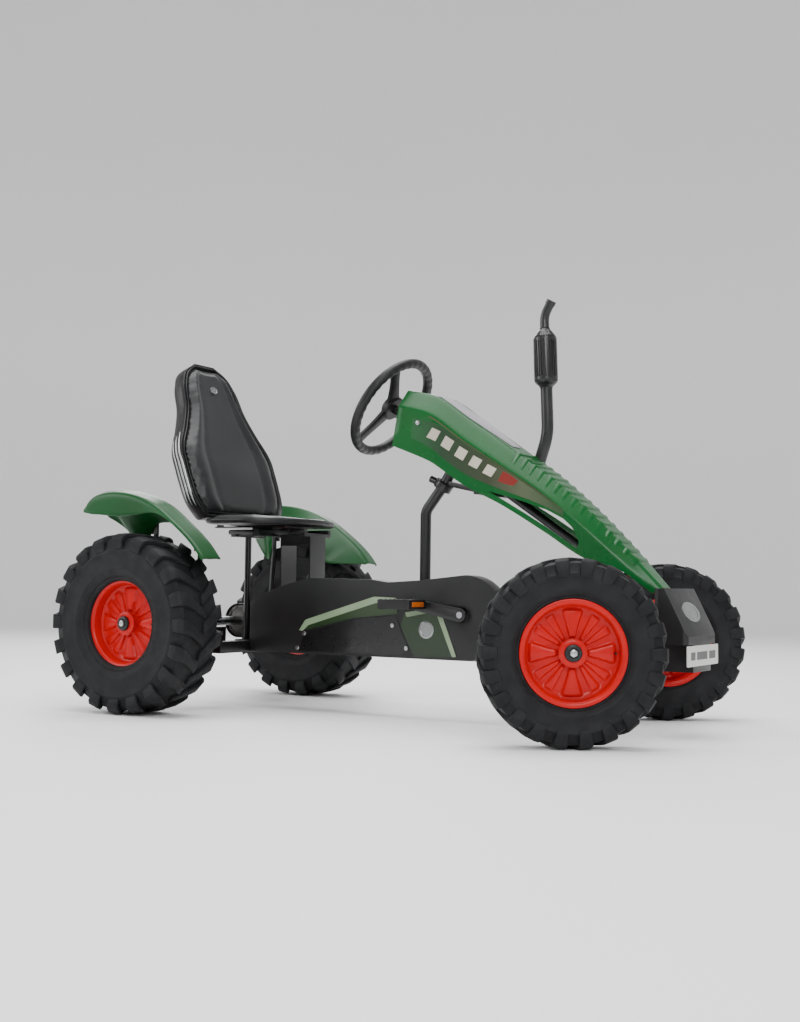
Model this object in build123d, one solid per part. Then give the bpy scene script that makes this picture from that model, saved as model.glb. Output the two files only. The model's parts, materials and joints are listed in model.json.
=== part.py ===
from build123d import *
from math import atan2, cos, degrees, pi, radians, sin
import os

# Pedal go kart in tractor style. Millimetres. X points forward, Y to the driver's left, Z up.
# The model is laid out from the point on the floor under the middle of the rear axle, and is
# moved at the end so that the origin is the bottom centre of the whole kart.

# Fits and seats
RUN = 0.05          # radial clearance of a running fit
TIGHT = 0.02        # radial clearance of a pushed-on fit
SEAT = 0.3          # gap between a cover or a soft part and what it sits on
WASHER_GAP = 0.5    # end float beside a turning part

# Overall layout
WHEELBASE = 1178
REAR_TRACK = 756
KINGPIN_SPACING = 620
STEER_AT_REST = 32  # the wheels are stored turned to the left
SWING_Z = 245

# Wheels
BEAD_R = 101.6
FLANGE_R = 114
RIM_WALL = 3
REAR_TYRE_R = 230
REAR_TYRE_W = 165
REAR_RIM_W = 106
REAR_LUGS = 20
REAR_LUG_H = 9
FRONT_TYRE_R = 200
FRONT_TYRE_W = 100
FRONT_RIM_W = 76
FRONT_LUGS = 22
FRONT_LUG_H = 7
FRONT_OFFSET = 50   # kingpin to the middle of the front tyre
TYRE_WALL = 7
TYRE_CLOCK = 1.5    # how far the tread is turned on the rim
WHEEL_RIBS = 8
HUB_R = 25
AXLE_R = 12.5
STUB_R = 8
CAP_R = 19

# Frame
BEAM_Z = 150
BEAM_H = 50
BEAM_HALF = 30
BEAM_WALL = 3
CROSS_H = 30
CROSS_X = (90, 130)
PLATE_Y = 188
PLATE_T = 8
HOUSING_R = 32
HOUSING_L = 18
BEARING_R = 20
TOW_HOLE_R = 5.25
TOW_SPACING = 80

# Drive
CRANK_X = 790
CRANK_Z = 265
CRANK_LENGTH = 140
CRANK_ANGLE = 170   # the right crank arm, from +X towards +Z
SPINDLE_R = 8
HUB_X = 380
HUB_Z = 230
PITCH = 12.7
CHAINRING_TEETH = 40
HUB_DRIVEN_TEETH = 18
HUB_DRIVER_TEETH = 16
AXLE_TEETH = 20
SPROCKET_T = 5
FRONT_CHAIN_Y = -55
REAR_CHAIN_Y = 50
GUARD_Y = 78
GUARD_WALL = 3
ARM_Y = 84
ARM_T = 9
PEDAL_Y = (99, 177)
PEDAL_HALF = 46

# Steering
WHEEL_CENTRE = (531, 802)
COLUMN_FOOT = (WHEELBASE + 5, 356)
COLUMN_R = 11
SLEEVE_R = 18
BUSH_R = 14.5
STEER_ARM = 65
BALL_PIN_R = 4
ROD_R = 6
OPEN_EYE_R = 13.5   # the inner eye is loose on its pin, because the linkage is opened there
STEERING_RIM_R = 132
STEERING_GRIP_R = 14
SPOKE_ANGLES = (-69, 69, 180)

# Seat
RAIL_Y = 55
RAIL_Z = 476
RAIL_R = 7
SEAT_FOOT = (66, 505)
SEAT_HEAD = (-100, 960)
SEAT_T = 58
SEAT_HALF = 204
PAN_Z = 492
PAN_T = 28
PAN_FRONT = 298

# Hood: distance along it, top height, crease drop, bottom height, half width on top and at the side
HOOD_REAR = 616
HOOD_TIP = WHEELBASE + 107
HOOD_WALL = 3
HOOD_RAKE = (-26, -22)
HOOD_STATIONS = (
    (0.00, 835, 45, 690, 58, 92),
    (0.13, 812, 50, 645, 57, 92),
    (0.26, 752, 52, 588, 55, 90),
    (0.43, 675, 50, 531, 52, 86),
    (0.59, 599, 44, 467, 48, 79),
    (0.74, 514, 40, 404, 42, 70),
    (0.87, 430, 34, 375, 36, 55),
    (1.00, 338, 6, 325, 28, 34),
)
SLOT_TOP = ((0.37, 16), (0.515, 41), (0.60, 56), (0.66, 62), (0.705, 50), (0.72, 26))
SLOT_BAR = 14

# Fender: angle about the rear axle, ridge radius, outer radius, inner edge radius and its y, skirt depth
FENDER_RIDGE_Y = 340
FENDER_OUT_Y = 400
FENDER_T = 3.5
FENDER_STATIONS = (
    (35, 297, 290, 289, 333, 8),
    (42, 297, 290, 250, 298, 8),
    (50, 297, 290, 221, 270, 8),
    (62, 301, 294, 233, 270, 8),
    (75, 317, 309, 261, 270, 18),
    (88, 335, 326, 266, 270, 48),
    (100, 354, 343, 255, 270, 64),
    (108, 367, 353, 212, 270, 61),
    (114, 380, 357, 196, 270, 50),
    (117, 382, 354, 265, 272, 38),
    (121, 366, 344, 325, 312, 10),
)
BRACKET_ANGLES = (62, 100)
BRACKET_ROOTS = {62: (42, 256), 100: (-31, 258)}

# Exhaust stack
STACK_Y = 60
STACK_PATH = ((928, 640), (953, 716), (948, 832))
STACK_PIPE_R = 15.5
MUFFLER_R = 30
MUFFLER_Z = (832, 985)
OUTLET_PATH = ((942, 985), (941, 1018), (962, 1056))
OUTLET_R = 12


def block(x, y, z):
    """A box from its low and high corner values along each axis."""
    middle = Pos((x[0] + x[1]) / 2, (y[0] + y[1]) / 2, (z[0] + z[1]) / 2)
    return middle * Box(x[1] - x[0], y[1] - y[0], z[1] - z[0])


def rod(start, end, radius):
    """A round bar from start to end."""
    axis = Vector(*end) - Vector(*start)
    base = Plane(origin=start, z_dir=axis)
    return base * Cylinder(radius, axis.length, align=(Align.CENTER, Align.CENTER, Align.MIN))


def ring(start, end, outer, inner):
    """A round bar with a hole right through it."""
    step = (Vector(*end) - Vector(*start)).normalized()
    return rod(start, end, outer) - rod(Vector(*start) - step, Vector(*end) + step, inner)


def side_face(points):
    """A flat face in side view, from (x, z) corners."""
    return make_face(Polyline(*[(x, 0, z) for x, z in points], close=True))


def slab(face, y):
    """A side-view face given a thickness between two values of y."""
    return extrude(Pos(0, y[0], 0) * face, amount=y[1] - y[0], dir=(0, 1, 0))


def loop_face(front, rear, front_radius, rear_radius):
    """The side-view face inside a belt round two circles."""
    circles = Pos(*front) * Circle(front_radius) + Pos(*rear) * Circle(rear_radius)
    return Plane.XZ * make_hull(circles.edges())


def bent_rod(points, bend, radius):
    """A round bar along straight runs joined by arcs."""
    path = FilletPolyline(*points, radius=bend)
    return sweep(Plane(origin=path @ 0, z_dir=path % 0) * Circle(radius), path=path)


def across(shape):
    """The same piece on the other side of the kart."""
    return mirror(shape, about=Plane.XZ)


def group(pieces):
    """Separate solids that share one node."""
    return Compound(children=list(pieces))


def pitch_radius(teeth):
    """Radius of the chain's line round a sprocket."""
    return PITCH / (2 * sin(pi / teeth))


def sprocket(teeth, centre, y, bore, bore_centre_r):
    """A toothed disc on a shaft along Y, with its boss."""
    tip = pitch_radius(teeth) + 3
    root = pitch_radius(teeth) - 4
    corners = []
    for tooth in range(teeth):
        for share, radius in ((-0.32, root), (-0.12, tip), (0.12, tip), (0.32, root)):
            angle = 2 * pi * (tooth + share) / teeth
            corners.append((centre[0] + radius * cos(angle), centre[1] + radius * sin(angle)))
    disc = slab(side_face(corners), (y - SPROCKET_T / 2, y + SPROCKET_T / 2))
    boss = rod((centre[0], y - 6, centre[1]), (centre[0], y + 6, centre[1]), bore_centre_r)
    hole = rod((centre[0], y - 7, centre[1]), (centre[0], y + 7, centre[1]), bore)
    return disc + boss - hole


# Steering column line, from the steering wheel's centre to its foot
COLUMN_RUN = Vector(COLUMN_FOOT[0] - WHEEL_CENTRE[0], 0, COLUMN_FOOT[1] - WHEEL_CENTRE[1])
COLUMN_LENGTH = COLUMN_RUN.length
COLUMN_UP = COLUMN_RUN.normalized() * -1
COLUMN_TILT = degrees(atan2(COLUMN_UP.Z, -COLUMN_UP.X))
PITMAN_DOWN = Vector(-COLUMN_UP.Z, 0, COLUMN_UP.X)


def column_point(distance):
    """A point on the column's axis, measured down from the steering wheel."""
    return Vector(WHEEL_CENTRE[0], 0, WHEEL_CENTRE[1]) - COLUMN_UP * distance


def turned_with_column(shape):
    """A piece of the column, turned from straight ahead to the stored angle."""
    return shape.rotate(Axis(column_point(0), COLUMN_UP), STEER_AT_REST)


def steered(shape, side):
    """A piece of one front corner, turned about its kingpin to the stored angle."""
    kingpin = Axis((WHEELBASE, side * KINGPIN_SPACING / 2, 0), (0, 0, 1))
    return shape.rotate(kingpin, STEER_AT_REST)


def front_corner(build, side):
    """A left front piece, or its mirror image on the right, at the stored angle."""
    piece = build() if side > 0 else across(build())
    return steered(piece, side)


# Wheels, built about the origin with the outer side towards +Y

def spun(points, arc=360):
    """A ring about Y from (radius, width) corners."""
    return revolve(make_face(Polyline(*points, close=True)), Axis.Y, revolution_arc=arc)


def carcass(tyre_r, tyre_w, rim_w, lug):
    """The tyre's hollow body, from bead to bead."""
    bead = BEAD_R + RUN
    lip = rim_w / 2 - RIM_WALL - RUN
    half = tyre_w / 2 - lug / 2
    crown = tyre_r - lug
    above_flange = FLANGE_R + SEAT
    shoulder = (crown - 9, half * 0.86)
    belly = ((above_flange + crown) / 2 + 4, half)
    inner_crown = crown - TYRE_WALL
    inner_shoulder = (shoulder[0] - TYRE_WALL, shoulder[1] - TYRE_WALL)
    inner_belly = (belly[0], half - TYRE_WALL)
    inner_lip = lip - TYRE_WALL - 3
    neck = (above_flange + 6, inner_lip + 4)
    edges = [
        Line((bead, inner_lip), (bead, lip)),
        Line((bead, lip), (above_flange, lip)),
        ThreePointArc((above_flange, lip), belly, shoulder),
        ThreePointArc(shoulder, (crown, 0), (shoulder[0], -shoulder[1])),
        ThreePointArc((shoulder[0], -shoulder[1]), (belly[0], -belly[1]), (above_flange, -lip)),
        Line((above_flange, -lip), (bead, -lip)),
        Line((bead, -lip), (bead, -inner_lip)),
        Line((bead, -inner_lip), (neck[0], -neck[1])),
        ThreePointArc((neck[0], -neck[1]), (inner_belly[0], -inner_belly[1]),
                      (inner_shoulder[0], -inner_shoulder[1])),
        ThreePointArc((inner_shoulder[0], -inner_shoulder[1]), (inner_crown, 0), inner_shoulder),
        ThreePointArc(inner_shoulder, inner_belly, neck),
        Line(neck, (bead, inner_lip)),
    ]
    return revolve(make_face(edges), Axis.Y)


def tyre(tyre_r, tyre_w, rim_w, lugs, lug):
    """A farm tyre: the body and two staggered rows of tread lugs."""
    half = tyre_w / 2
    crown = tyre_r - lug
    section = [
        (crown - 3, 2),
        (tyre_r, 2),
        (tyre_r, half * 0.66),
        (tyre_r - 5, half * 0.86),
        (tyre_r - 18, half),
        (tyre_r - 44, half),
        (tyre_r - 44, half - lug),
        (crown - 14, half * 0.78),
    ]
    pitch = 360 / lugs
    arc = pitch * 0.52
    left_lug = Rot(0, 90 - arc / 2, 0) * spun(section, arc)
    right_lug = Rot(0, pitch / 2, 0) * across(left_lug)
    blocks = [Rot(0, index * pitch, 0) * lug_shape for index in range(lugs)
              for lug_shape in (left_lug, right_lug)]
    return Rot(0, TYRE_CLOCK, 0) * (carcass(tyre_r, tyre_w, rim_w, lug) + blocks)


def rim(rim_w, disc_w, hub_w, bore):
    """A steel rim with two flanges, a dished disc, ribs and a hub tube."""
    half = rim_w / 2
    inner = BEAD_R - RIM_WALL
    barrel = spun([
        (inner, -half), (FLANGE_R, -half), (FLANGE_R, RIM_WALL - half), (BEAD_R, RIM_WALL - half),
        (BEAD_R, half - RIM_WALL), (FLANGE_R, half - RIM_WALL), (FLANGE_R, half), (inner, half),
    ])
    disc = spun([
        (HUB_R - 2, disc_w), (HUB_R - 2, disc_w + 4), (inner - 20, disc_w + 4), (inner + 1, disc_w + 14),
        (inner + 1, disc_w + 10), (inner - 18, disc_w),
    ])
    rib = extrude(Plane.YZ * Rectangle(8, 8), amount=inner - 20)
    ribs = [Rot(0, index * 360 / WHEEL_RIBS, 0) * Pos(0, disc_w + 7, 0) * rib
            for index in range(WHEEL_RIBS)]
    hub = rod((0, hub_w[0], 0), (0, hub_w[1], 0), HUB_R)
    hole = rod((0, hub_w[0] - 1, 0), (0, hub_w[1] + 1, 0), bore)
    return barrel + disc + ribs + hub - hole


REAR_HUB_W = (-48, 45)
FRONT_HUB_W = (-14, 30)


def rear_tyre():
    """The left rear tyre at its place."""
    shape = tyre(REAR_TYRE_R, REAR_TYRE_W, REAR_RIM_W, REAR_LUGS, REAR_LUG_H)
    return Pos(0, REAR_TRACK / 2, REAR_TYRE_R) * shape


def rear_rim(bore):
    """The left rear rim at its place."""
    return Pos(0, REAR_TRACK / 2, REAR_TYRE_R) * rim(REAR_RIM_W, 14, REAR_HUB_W, bore)


FRONT_WHEEL_Y = KINGPIN_SPACING / 2 + FRONT_OFFSET


def front_tyre():
    """The left front tyre, straight ahead."""
    shape = tyre(FRONT_TYRE_R, FRONT_TYRE_W, FRONT_RIM_W, FRONT_LUGS, FRONT_LUG_H)
    return Pos(WHEELBASE, FRONT_WHEEL_Y, FRONT_TYRE_R) * shape


def front_rim():
    """The left front rim, straight ahead."""
    shape = rim(FRONT_RIM_W, 4, FRONT_HUB_W, STUB_R + RUN)
    return Pos(WHEELBASE, FRONT_WHEEL_Y, FRONT_TYRE_R) * shape


def end_cap(x, y, z, bolt_r):
    """A round cap with a bolt head in its middle, facing +Y."""
    cap = rod((x, y, z), (x, y + 6, z), CAP_R)
    return cap + rod((x, y + 6, z), (x, y + 10, z), bolt_r)


# Rear axle

AXLE_END_Y = REAR_TRACK / 2 + REAR_HUB_W[1]
COLLAR_Y = REAR_TRACK / 2 + REAR_HUB_W[0]


def rear_axle():
    """The live axle, with a collar inside each wheel hub."""
    shaft = rod((0, -AXLE_END_Y, REAR_TYRE_R), (0, AXLE_END_Y, REAR_TYRE_R), AXLE_R)
    collar = rod((0, COLLAR_Y - 12, REAR_TYRE_R), (0, COLLAR_Y - WASHER_GAP, REAR_TYRE_R), AXLE_R + 5)
    return shaft + collar + across(collar)


def axle_end_caps():
    """The capped nuts on both ends of the axle."""
    cap = end_cap(0, AXLE_END_Y, REAR_TYRE_R, 9)
    clear = Pos(0, WASHER_GAP, 0) * cap
    tail = rod((0, AXLE_END_Y, REAR_TYRE_R), (0, AXLE_END_Y + 2, REAR_TYRE_R), AXLE_R)
    return group([clear + tail, across(clear + tail)])


# Frame

CROSS_TOP = BEAM_Z + CROSS_H
BEAM_TOP = BEAM_Z + BEAM_H
BUMPER_X = WHEELBASE + 112
HOUSING_Y = PLATE_Y + PLATE_T
SUPPORT_X = (200, 300)
SUPPORT_HALF = 35
RAIL_SEAT_Z = RAIL_Z - RAIL_R
POST_X = 638
POST_R = 14
EAR_T = 7


def bottom_bracket():
    """The crank's bearing shell on two side cheeks."""
    shell = rod((CRANK_X, -34, CRANK_Z), (CRANK_X, 34, CRANK_Z), 24)
    cheek = slab(side_face([
        (CRANK_X - 60, BEAM_TOP), (CRANK_X + 60, BEAM_TOP), (CRANK_X + 22, CRANK_Z), (CRANK_X - 22, CRANK_Z),
    ]), (18, 26))
    hole = rod((CRANK_X, -40, CRANK_Z), (CRANK_X, 40, CRANK_Z), BEARING_R - 1)
    return shell + cheek + across(cheek) - hole


def hub_ears():
    """The two ears that carry the gear hub."""
    ear = slab(side_face([
        (HUB_X - 34, BEAM_TOP), (HUB_X + 34, BEAM_TOP), (HUB_X + 16, HUB_Z + 18), (HUB_X - 16, HUB_Z + 18),
    ]), (24, BEAM_HALF))
    bore = rod((HUB_X, -40, HUB_Z), (HUB_X, 40, HUB_Z), SPINDLE_R + RUN)
    return ear + across(ear) - bore


def swing_ears():
    """The fork at the front that holds the swinging axle's bolt."""
    ears = []
    for low in (WHEELBASE - 20 - WASHER_GAP - EAR_T, WHEELBASE + 20 + WASHER_GAP):
        ears.append(block((low, low + EAR_T), (-25, 25), (BEAM_TOP, SWING_Z + 24)))
    bore = rod((WHEELBASE - 40, 0, SWING_Z), (WHEELBASE + 40, 0, SWING_Z), SPINDLE_R + TIGHT)
    return ears[0] + ears[1] - bore


LOWER_BUSH = (COLUMN_LENGTH - 56, COLUMN_LENGTH - 28)
UPPER_BUSH = (232, 262)


def sleeve(span):
    """The outer tube round one column bush."""
    return ring(column_point(span[0]), column_point(span[1]), SLEEVE_R, BUSH_R + TIGHT)


def column_strut():
    """The leaning plate that carries the lower column bush."""
    top = column_point((LOWER_BUSH[0] + LOWER_BUSH[1]) / 2)
    plate = slab(side_face([
        (WHEELBASE - 193, BEAM_TOP), (WHEELBASE - 143, BEAM_TOP),
        (top.X - 6, top.Z - 10), (top.X - 24, top.Z + 4),
    ]), (-12, 12))
    bush_hole = rod(column_point(LOWER_BUSH[0] - 30), column_point(LOWER_BUSH[1] + 30), BUSH_R + TIGHT)
    return plate + sleeve(LOWER_BUSH) - bush_hole


def main_frame():
    """The middle beam with everything welded to it."""
    outside = block((CROSS_X[1], BUMPER_X), (-BEAM_HALF, BEAM_HALF), (BEAM_Z, BEAM_TOP))
    inside = block((CROSS_X[1] - 1, BUMPER_X + 1), (BEAM_WALL - BEAM_HALF, BEAM_HALF - BEAM_WALL),
                   (BEAM_Z + BEAM_WALL, BEAM_TOP - BEAM_WALL))
    return outside - inside + bottom_bracket() + hub_ears() + swing_ears() + column_strut()


def tow_plate():
    """The drilled plate behind the axle, and its two arms."""
    plate = block((-66, -60), (-60, 60), (BEAM_Z, BEAM_Z + 60))
    for side in (-1, 1):
        arm_y = sorted((side * 30, side * 42))
        plate += block((-60, CROSS_X[0]), arm_y, (BEAM_Z, BEAM_Z + 20))
        hole_y = side * TOW_SPACING / 2
        plate -= rod((-70, hole_y, BEAM_Z + 40), (-50, hole_y, BEAM_Z + 40), TOW_HOLE_R)
    return plate


def rear_frame():
    """The rear cross member with its bearing plates, seat post foot and tow plate."""
    cross = block(CROSS_X, (-PLATE_Y, PLATE_Y), (BEAM_Z, CROSS_TOP))
    foot = block((38, CROSS_X[0]), (-22, 22), (BEAM_Z, CROSS_TOP))
    plate = slab(side_face([
        (-42, 200), (-42, 262), (-20, 276), (30, 276), (CROSS_X[1], CROSS_TOP + 10),
        (CROSS_X[1], BEAM_Z), (10, BEAM_Z),
    ]), (PLATE_Y, HOUSING_Y))
    hole = rod((0, -HOUSING_Y - 1, REAR_TYRE_R), (0, HOUSING_Y + 1, REAR_TYRE_R), AXLE_R + 4)
    return cross + foot + plate + across(plate) + tow_plate() - hole


def bearing_housings():
    """The flanged housings on the outside of the bearing plates."""
    housing = ring((0, HOUSING_Y, REAR_TYRE_R), (0, HOUSING_Y + HOUSING_L, REAR_TYRE_R), HOUSING_R, BEARING_R)
    return group([housing, across(housing)])


def axle_bearings():
    """The bearings that the rear axle turns in."""
    race = ring((0, HOUSING_Y + 1, REAR_TYRE_R), (0, HOUSING_Y + HOUSING_L - 1, REAR_TYRE_R),
                BEARING_R - TIGHT, AXLE_R + RUN)
    return group([race, across(race)])


def crank_bearings():
    """The bearings in the bottom bracket shell."""
    race = ring((CRANK_X, 20, CRANK_Z), (CRANK_X, 33, CRANK_Z), BEARING_R - 1 - TIGHT, SPINDLE_R + RUN)
    return group([race, across(race)])


def post_tube(radius):
    """The bent tube from the beam up to the middle of the column's upper sleeve."""
    top = column_point((UPPER_BUSH[0] + UPPER_BUSH[1]) / 2)
    return bent_rod([(POST_X, 0, BEAM_TOP), (POST_X, 0, 526), (POST_X + 52, 0, 592),
                     (top.X, 0, top.Z)], 38, radius)


def steering_post():
    """The bent post with the column's upper sleeve on its end."""
    bush_hole = rod(column_point(UPPER_BUSH[0] - 30), column_point(UPPER_BUSH[1] + 30), BUSH_R + TIGHT)
    return post_tube(POST_R) + sleeve(UPPER_BUSH) - bush_hole


def column_bushes():
    """The plastic bushes in the two column sleeves."""
    return group([ring(column_point(low), column_point(high), BUSH_R, COLUMN_R + RUN)
                  for low, high in (UPPER_BUSH, LOWER_BUSH)])


def swing_bolt():
    """The bolt that the front axle swings on, with its head and nut."""
    back = WHEELBASE - 20 - WASHER_GAP - EAR_T
    front = WHEELBASE + 20 + WASHER_GAP + EAR_T
    shank = rod((back, 0, SWING_Z), (front, 0, SWING_Z), SPINDLE_R)
    head = rod((back - 7, 0, SWING_Z), (back, 0, SWING_Z), 13)
    nut = rod((front, 0, SWING_Z), (front + 8, 0, SWING_Z), 12)
    return shank + head + nut


# Hood

def hood_x(share):
    """A place along the hood's top, from its rear edge to its tip."""
    return HOOD_REAR + (HOOD_TIP - HOOD_REAR) * share


def hood_value(share, column):
    """One hood measure, read between its stations."""
    for first, second in zip(HOOD_STATIONS, HOOD_STATIONS[1:]):
        if share <= second[0]:
            part = (share - first[0]) / (second[0] - first[0])
            return first[column] + (second[column] - first[column]) * part
    return HOOD_STATIONS[-1][column]


def hood_section(station, rake, inset, lengthen):
    """One closed cross-section of the hood, on a plane that leans by rake."""
    share, top, crease, bottom, half_top, half_side = station
    lean = rake / (top - bottom)
    corners = [
        (half_top - inset * 0.7, top - inset),
        (half_side - inset, top - crease - inset * 0.5),
        (half_side - inset, bottom - inset * 4),
    ]
    corners += [(-y, z) for y, z in reversed(corners)]
    x_top = hood_x(share) + lengthen
    return make_face(Polyline(*[(x_top + lean * (top - z), y, z) for y, z in corners], close=True))


def hood_body(inset):
    """The hood's outer form, or its inside when inset by the wall."""
    sections = []
    last = len(HOOD_STATIONS) - 1
    for index, station in enumerate(HOOD_STATIONS):
        rake = HOOD_RAKE[0] if index == 0 else HOOD_RAKE[1] if index == last else 0
        lengthen = 0
        if inset and index == 0:
            lengthen = -inset * 2
        if inset and index == last:
            lengthen = -inset * 2
        sections.append(hood_section(station, rake, inset, lengthen))
    return loft(sections, ruled=True)


def hood_slot():
    """The long opening low in both sides of the hood."""
    upper = [(hood_x(share), hood_value(share, 3) + rise) for share, rise in SLOT_TOP]
    lower = [(hood_x(share), hood_value(share, 3) + SLOT_BAR) for share in (0.71, 0.59, 0.43)]
    return slab(side_face(upper + lower), (-120, 120))


def stack_path():
    """Corners of the exhaust's lower pipe."""
    return [(x, STACK_Y, z) for x, z in STACK_PATH]


def hood():
    """The hood shell, open below and behind, with its slots and the exhaust's hole."""
    pipe_hole = rod((STACK_PATH[0][0], STACK_Y, STACK_PATH[0][1]),
                    (STACK_PATH[1][0], STACK_Y, STACK_PATH[1][1]), STACK_PIPE_R + SEAT)
    return hood_body(0) - hood_body(HOOD_WALL) - hood_slot() - pipe_hole


def hood_inlay():
    """The pale panel on the hood's flat top."""
    shares = (0.05, 0.13, 0.26, 0.42)
    line = [(hood_x(share), hood_value(share, 1)) for share in shares]
    raised = [(x + 1, z + 2.5) for x, z in reversed(line)]
    strip = slab(side_face(line + raised), (-60, 60))
    plan = [(line[0][0] - 5, 34), (line[2][0], 46), (line[3][0] + 5, 20)]
    outline = Polyline(*[(x, y, 0) for x, y in plan], *[(x, -y, 0) for x, y in reversed(plan)], close=True)
    return strip & extrude(make_face(outline), amount=1200)


def dash_panel():
    """The plate that closes the hood behind the steering wheel."""
    face = hood_section(HOOD_STATIONS[0], HOOD_RAKE[0], 0, 5)
    slice_shape = extrude(face, amount=3, dir=(1, 0, 0))
    keep = block((0, 2000), (-200, 200), (hood_value(0, 3) + 2, 2000))
    hole = rod(column_point(10), column_point(160), COLUMN_R + 4)
    return slice_shape & hood_body(HOOD_WALL + SEAT) & keep - hole


def hood_bracket():
    """The arm from the post to the hood's lower edges, with its clamp knob."""
    share = 0.33
    end_x = hood_x(share)
    end_z = hood_value(share, 3) + 3
    half = hood_value(share, 5) - HOOD_WALL - SEAT
    arm = slab(side_face([
        (POST_X + 62, 590), (POST_X + 62, 604), (end_x, end_z + 5), (end_x, end_z - 7),
    ]), (-8, 8))
    cross = block((end_x - 14, end_x), (-half, half), (end_z - 7, end_z + 5))
    band = rod((POST_X + 46, 0, 583), (POST_X + 57, 0, 599), POST_R + 10)
    knob = rod((POST_X + 38, 0, 600), (POST_X + 14, 0, 610), 9)
    return arm + cross + band + knob - post_tube(POST_R + SEAT)


def exhaust_stack():
    """The upright exhaust: lower pipe, muffler can and outlet."""
    pipe = bent_rod(stack_path(), 50, STACK_PIPE_R)
    foot = STACK_PATH[-1][0]
    head = OUTLET_PATH[0][0]
    low, high = MUFFLER_Z
    lean = (head - foot) / (high - low)
    rings = ((0, STACK_PIPE_R), (16, MUFFLER_R), (high - low - 18, MUFFLER_R), (high - low, OUTLET_R))
    sections = [Pos(foot + lean * rise, STACK_Y, low + rise) * Circle(radius) for rise, radius in rings]
    can = loft(sections, ruled=True)
    outlet = bent_rod([(x, STACK_Y, z) for x, z in OUTLET_PATH], 18, OUTLET_R)
    return group([pipe - can, can, outlet - can])


# Front bumper

BUMPER_TOP = 337
BUMPER_LOW = 212
BUMPER_HALF = 100
BUMPER_FRONT = WHEELBASE + 191
BUMPER_BROW = WHEELBASE + 137
PLATE_HALF = 105


def front_bumper():
    """The black nose block and the holder for the number plate."""
    nose = slab(side_face([
        (BUMPER_X, BUMPER_LOW), (BUMPER_X, BUMPER_TOP), (BUMPER_BROW, BUMPER_TOP),
        (BUMPER_FRONT, BUMPER_LOW + 18), (BUMPER_FRONT, BUMPER_LOW),
    ]), (-BUMPER_HALF, BUMPER_HALF))
    nose = fillet(nose.edges().filter_by(Axis.Z), 12)
    holder = block((BUMPER_X, BUMPER_FRONT), (-60, 60), (BEAM_Z, BUMPER_LOW))
    return nose + holder


def number_plate():
    """The blank plate on the front."""
    plate = block((BUMPER_FRONT, BUMPER_FRONT + 3), (-PLATE_HALF, PLATE_HALF), (164, 210))
    return fillet(plate.edges().filter_by(Axis.X), 4)


def badges():
    """Plain discs on the nose and on the chain guard."""
    brow = Vector(BUMPER_BROW, 0, BUMPER_TOP)
    chin = Vector(BUMPER_FRONT, 0, BUMPER_LOW + 18)
    slope = (brow - chin).normalized()
    face = Plane(origin=(brow + chin) / 2, x_dir=(0, 1, 0), z_dir=Vector(slope.Z, 0, -slope.X))
    nose_badge = extrude(face * Ellipse(52, 25), amount=2.5)
    guard_badge = rod((CRANK_X - 100, -GUARD_Y - 1.5, 226), (CRANK_X - 100, -GUARD_Y - 3.5, 226), 22)
    return group([nose_badge, guard_badge])


# Fenders, built on the left

def fender_profile(station):
    """The outer skin of one fender section as (y, radius) points."""
    angle, ridge, outer, inner, inner_y, skirt = station
    return [(FENDER_OUT_Y + 3, outer - skirt), (FENDER_OUT_Y, outer), (FENDER_RIDGE_Y, ridge), (inner_y, inner)]


def fender_section(station):
    """One closed cross-section of the fender wall, on a plane through the axle."""
    skin = fender_profile(station)
    under = [
        (skin[0][0] - FENDER_T, skin[0][1]),
        (skin[1][0] - FENDER_T, skin[1][1] - FENDER_T),
        (skin[2][0] + FENDER_T * 0.3, skin[2][1] - FENDER_T * 1.2),
        (skin[3][0] + FENDER_T, skin[3][1] - FENDER_T * 0.3),
    ]
    angle = radians(station[0])
    corners = [(radius * cos(angle), y, REAR_TYRE_R + radius * sin(angle))
               for y, radius in skin + list(reversed(under))]
    return make_face(Polyline(*corners, close=True))


def fender():
    """The left rear fender: a thin arched shell with a ridge, a flank and a skirt."""
    return loft([fender_section(station) for station in FENDER_STATIONS], ruled=True)


def fender_foot(angle):
    """Where a bracket meets the fender's inner edge, as (x, y, z)."""
    station = min(FENDER_STATIONS, key=lambda row: abs(row[0] - angle))
    y, radius = fender_profile(station)[3]
    return (radius * cos(radians(angle)), y, REAR_TYRE_R + radius * sin(radians(angle)))


def fender_bracket(angle):
    """One bracket from the rear frame to the fender's inner edge."""
    x, y, z = fender_foot(angle)
    pad_y = y - SEAT - 4
    pad = block((x - 14, x + 14), (pad_y, y - SEAT), (z - 18, z + 14))
    beside = block((x - 20, x + 20), (pad_y, y + 22), (z - 80, z + 20))
    root_x, root_z = BRACKET_ROOTS[angle]
    stem = bent_rod([(root_x, HOUSING_Y, root_z), (root_x, HOUSING_Y + 30, root_z),
                     (x, pad_y - 5, z - 50), (x, pad_y - 5, z - 6)], 14, 7)
    return stem - beside + pad


def fender_brackets():
    """Two brackets on each side."""
    left = [fender_bracket(angle) for angle in BRACKET_ANGLES]
    return group(left + [across(piece) for piece in left])


def fender_bolts():
    """The bolt heads that hold the fenders to their brackets."""
    heads = []
    for angle in BRACKET_ANGLES:
        x, y, z = fender_foot(angle)
        seat_y = y - SEAT - 4
        heads.append(rod((x, seat_y - 4, z + 8), (x, seat_y, z + 8), 5))
    return group(heads + [across(head) for head in heads])


# Chain guards

GUARD_FRONT_R = 105
GUARD_BASE = BEAM_Z + 3
GUARD_REAR = CROSS_X[1] + 4
GUARD_TOP = ((CRANK_X - 120, 349), (573, 343), (523, 350), (330, 352), (250, 334), (GUARD_REAR + 20, 300))


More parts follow.
